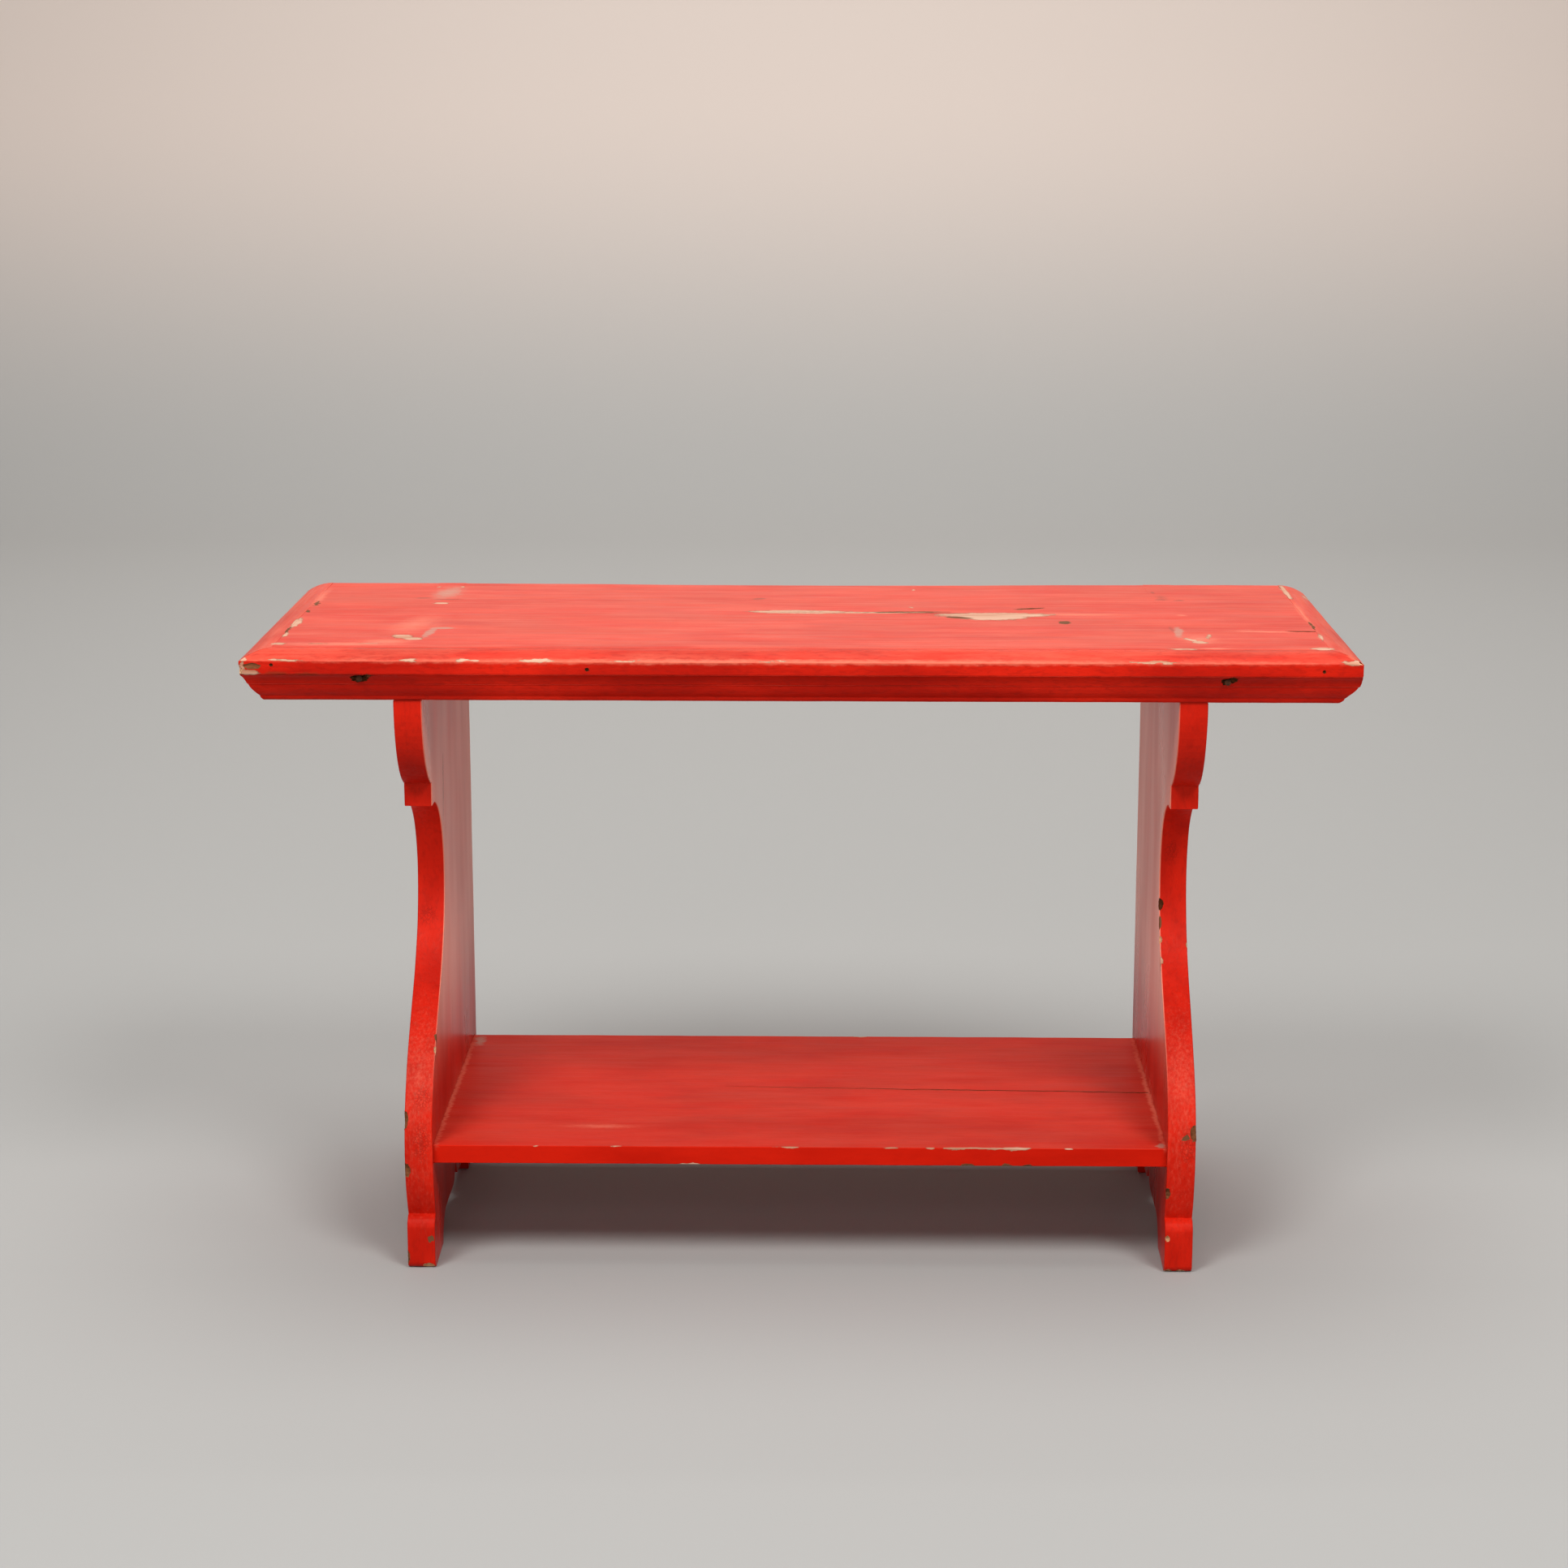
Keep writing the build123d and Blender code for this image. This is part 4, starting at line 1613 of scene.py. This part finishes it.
def end_board(side: Side) -> EndBoard:
    """Return an end board with its own nicks.

    Args:
        side: Which end it stands at.

    Returns:
        The board.
    """
    paint = RedPaint(arris_wear=0.12, lumps=0.36, faded=0.0, gloss=0.10, polish=0.44, glossy_face=301.5)
    board = EndBoard(f"{side.name.lower()}_end_board", Axis.Z, paint, 5 if side is Side.LEFT else 6,
                     joints=mortise_planes(side), side=side)
    if side is Side.LEFT:
        board.cuts = (
            board.nick(129, 0.0, (3.2, 4.0, 8.0), OLD_CHIP),
            board.nick(86, 0.06, (3.0, 2.4, 6.5), OLD_CHIP),
            board.nick(180, 1.0, (1.6, 2.2, 5.0), FRESH_CHIP),
            board.nick(10, 0.0, (2.0, 3.0, 6.0), OLD_CHIP),
            board.nick(2, 0.75, (4.5, 2.6, 3.0), FRESH_CHIP),
            Crack((-301.5, -25, 410), (-301.5, -36, 350), (-1, 0, 0), 2.0, 3.0, 0.5),
        )
        board.spots = (
            board.spot(Wear.CRACKLE, 146, 0.62, (9, 8, 16)),
            board.spot(Wear.CRACKLE, 112, 0.6, (9, 8, 22)),
            board.spot(Wear.CRACKLE, 273, 0.4, (10, 8, 9)),
            board.spot(Wear.STAINED, 26, 0.86, (3, 4, 3)),
            board.spot(Wear.STAINED, 188, 1.0, (2, 3, 6)),
        )
    else:
        board.cuts = (
            board.nick(284, 0.97, (3.0, 3.4, 5.0), DARK_HOLE),
            board.nick(257, 0.97, (1.6, 1.8, 4.0), FRESH_CHIP),
            board.nick(253, 0.0, (1.2, 1.6, 3.0), FRESH_CHIP),
            board.nick(122, 0.08, (2.6, 2.6, 8.0), OLD_CHIP),
            board.nick(69, 0.94, (2.2, 2.6, 6.0), OLD_CHIP),
            board.nick(30, 0.90, (1.8, 1.8, 2.6), FRESH_CHIP),
            board.nick(1, 0.85, (3.0, 2.4, 2.4), FRESH_CHIP),
            board.nick(1, 0.42, (3.4, 2.2, 2.0), FRESH_CHIP),
        )
        board.spots = (
            board.spot(Wear.STAINED, 270, 0.99, (1.8, 3, 9)),
            board.spot(Wear.BARE, 241, 0.98, (1.6, 3, 9)),
            board.spot(Wear.STAINED, 117, 0.36, (3.0, 3, 2.2)),
            board.spot(Wear.CRACKLE, 112, 0.3, (8, 6, 20)),
            board.spot(Wear.CRACKLE, 330, 0.6, (7, 6, 16)),
        )
    board.spots += (
        # paler on the lower scroll, which faces up: painted light and rubbed paint; darker under the
        # top: painted shade
        board.spot(Wear.RUBBED, 160, 0.5, (26, 60, 125), 0.33),
        board.spot(Wear.SHADED, 420, 0.5, (26, 60, 80), 0.5),
    )
    return board


def end_moulding(side: Side, *cuts: Gouge) -> Moulding:
    """Return the moulding of one end, with its chips."""
    paint = RedPaint(arris_wear=0.2, lumps=0.22, faded=0.85, gloss=0.15)
    return Moulding(f"{side.name.lower()}_end_moulding", Axis.Y, paint, 3 if side is Side.LEFT else 4,
                    TOP_SPOTS, cuts, ((Axis.X, side.value * SEAM_X),))


def front_moulding() -> Moulding:
    """Return the front moulding, with its nail wells and the chips along its arris.

    Returns:
        The moulding.
    """
    node = "front_moulding"
    pits = (
        (-349, 501, (6.4, 4.6, 3.6), DARK_HOLE),
        (-343, 503.4, (3.6, 3.0, 1.8), OLD_CHIP),
        (337, 500.5, (3.6, 4.4, 3.4), DARK_HOLE),
        (342, 502, (3.6, 3.0, 4.2), DARK_HOLE),
        (-168, 509.5, (1.5, 1.5, 1.3), DARK_HOLE),
        (-418, 512.5, (1.3, 1.3, 1.1), DARK_HOLE),
        (413.0, 509.4, (1.0, 1.3, 1.1), DARK_HOLE),
    )
    arris_chips = ((-407, (13, 2.5, 1.7)), (-309, (8, 2.4, 1.7)), (-262, (9, 2.3, 1.6)),
                   (-208, (13, 2.3, 1.7)), (277, (15, 2.4, 1.7)))
    return Moulding(
        node, Axis.X,
        RedPaint(arris_wear=0.15, lumps=0.5, faded=0.62, gloss=0.10, polish=0.42, soft_seam=SEAM_Y),
        seed=2, spots=(*TOP_SPOTS, *NOSE_SPOTS), joints=((Axis.Y, SEAM_Y),),
        stopped=((-417.0, 512.0), (411.0, 508.0)),
        cuts=(
            LEFT_CORNER_CHIP,
            RIGHT_CORNER_CHIP,
            Gouge((-433.5, -174.6, 511.4), (7.5, 2.2, 2.6), OLD_CHIP),
            *(Gouge((x, front_of(node, z), z), half, finish, 0.24) for x, z, half, finish in pits),
            *(Gouge((x, -175.2, 517.2), half) for x, half in arris_chips),
        ))


def boards() -> list[Board]:
    """Return every board of the bench, top first, because the tenons use its paint.

    Returns:
        The boards.
    """
    top = TopBoard(
        "top_board", Axis.X,
        RedPaint(arris_wear=0.25, lumps=0.12, faded=0.62, gloss=0.24, polish=0.42, soft_seam=SEAM_Y),
        seed=1, spots=TOP_SPOTS,
        joints=((Axis.Y, SEAM_Y), (Axis.X, -SEAM_X), (Axis.X, SEAM_X), *mortise_planes(*Side)),
        cuts=(
            Crack((396, -65, TOP_Z), (424, -66, TOP_Z), (0, 0, -1), 5.4, 6.0, 0.4, True),
            Crack((186, 43, TOP_Z), (207, 50, TOP_Z), (0, 0, -1), 3.6, 3.0, 0.5),
            Crack((60, 27, TOP_Z), (136, 20, TOP_Z), (0, 0, -1), 2.4, 2.0, 0.9),
        ))
    shelf = Board(
        "shelf_board", Axis.X,
        RedPaint(arris_wear=0.2, lumps=0.12, faded=0.28, gloss=0.03, polish=0.42),
        seed=7, spots=SHELF_SPOTS, arris=1.0,
        cuts=(
            Crack((-66, 9, SHELF_Z), (300, -3, SHELF_Z), (0, 0, -1), 1.5, 6.0, 0.6, True),
            Gouge((52, 161, 107.5), (5, 3, 2.4)),
            Gouge((139, -152.5, 90.5), (6, 2.4, 2.2), OLD_CHIP),
            Gouge((171, -152.5, 90.5), (3.4, 2.0, 1.6), OLD_CHIP),
            Gouge((188, -152.5, 90.5), (4.4, 2.2, 2.0), OLD_CHIP),
        ))
    return [top, front_moulding(),
            end_moulding(Side.LEFT, LEFT_CORNER_CHIP),
            end_moulding(Side.RIGHT, RIGHT_CORNER_CHIP, Gouge((446, 138, 519), (3.4, 9, 3.0))),
            end_board(Side.LEFT), end_board(Side.RIGHT), shelf]


def main() -> None:
    """Dress the bench, and set up the studio."""
    logging.basicConfig(level=logging.INFO, format="%(name)s %(message)s")
    for board in boards():
        board.build()
    iron = NailIron().material()
    for node in sorted(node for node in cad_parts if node.endswith("_nails")):
        Nails(node).build(iron)
    Studio().build()


if __name__ == "__main__":
    main()
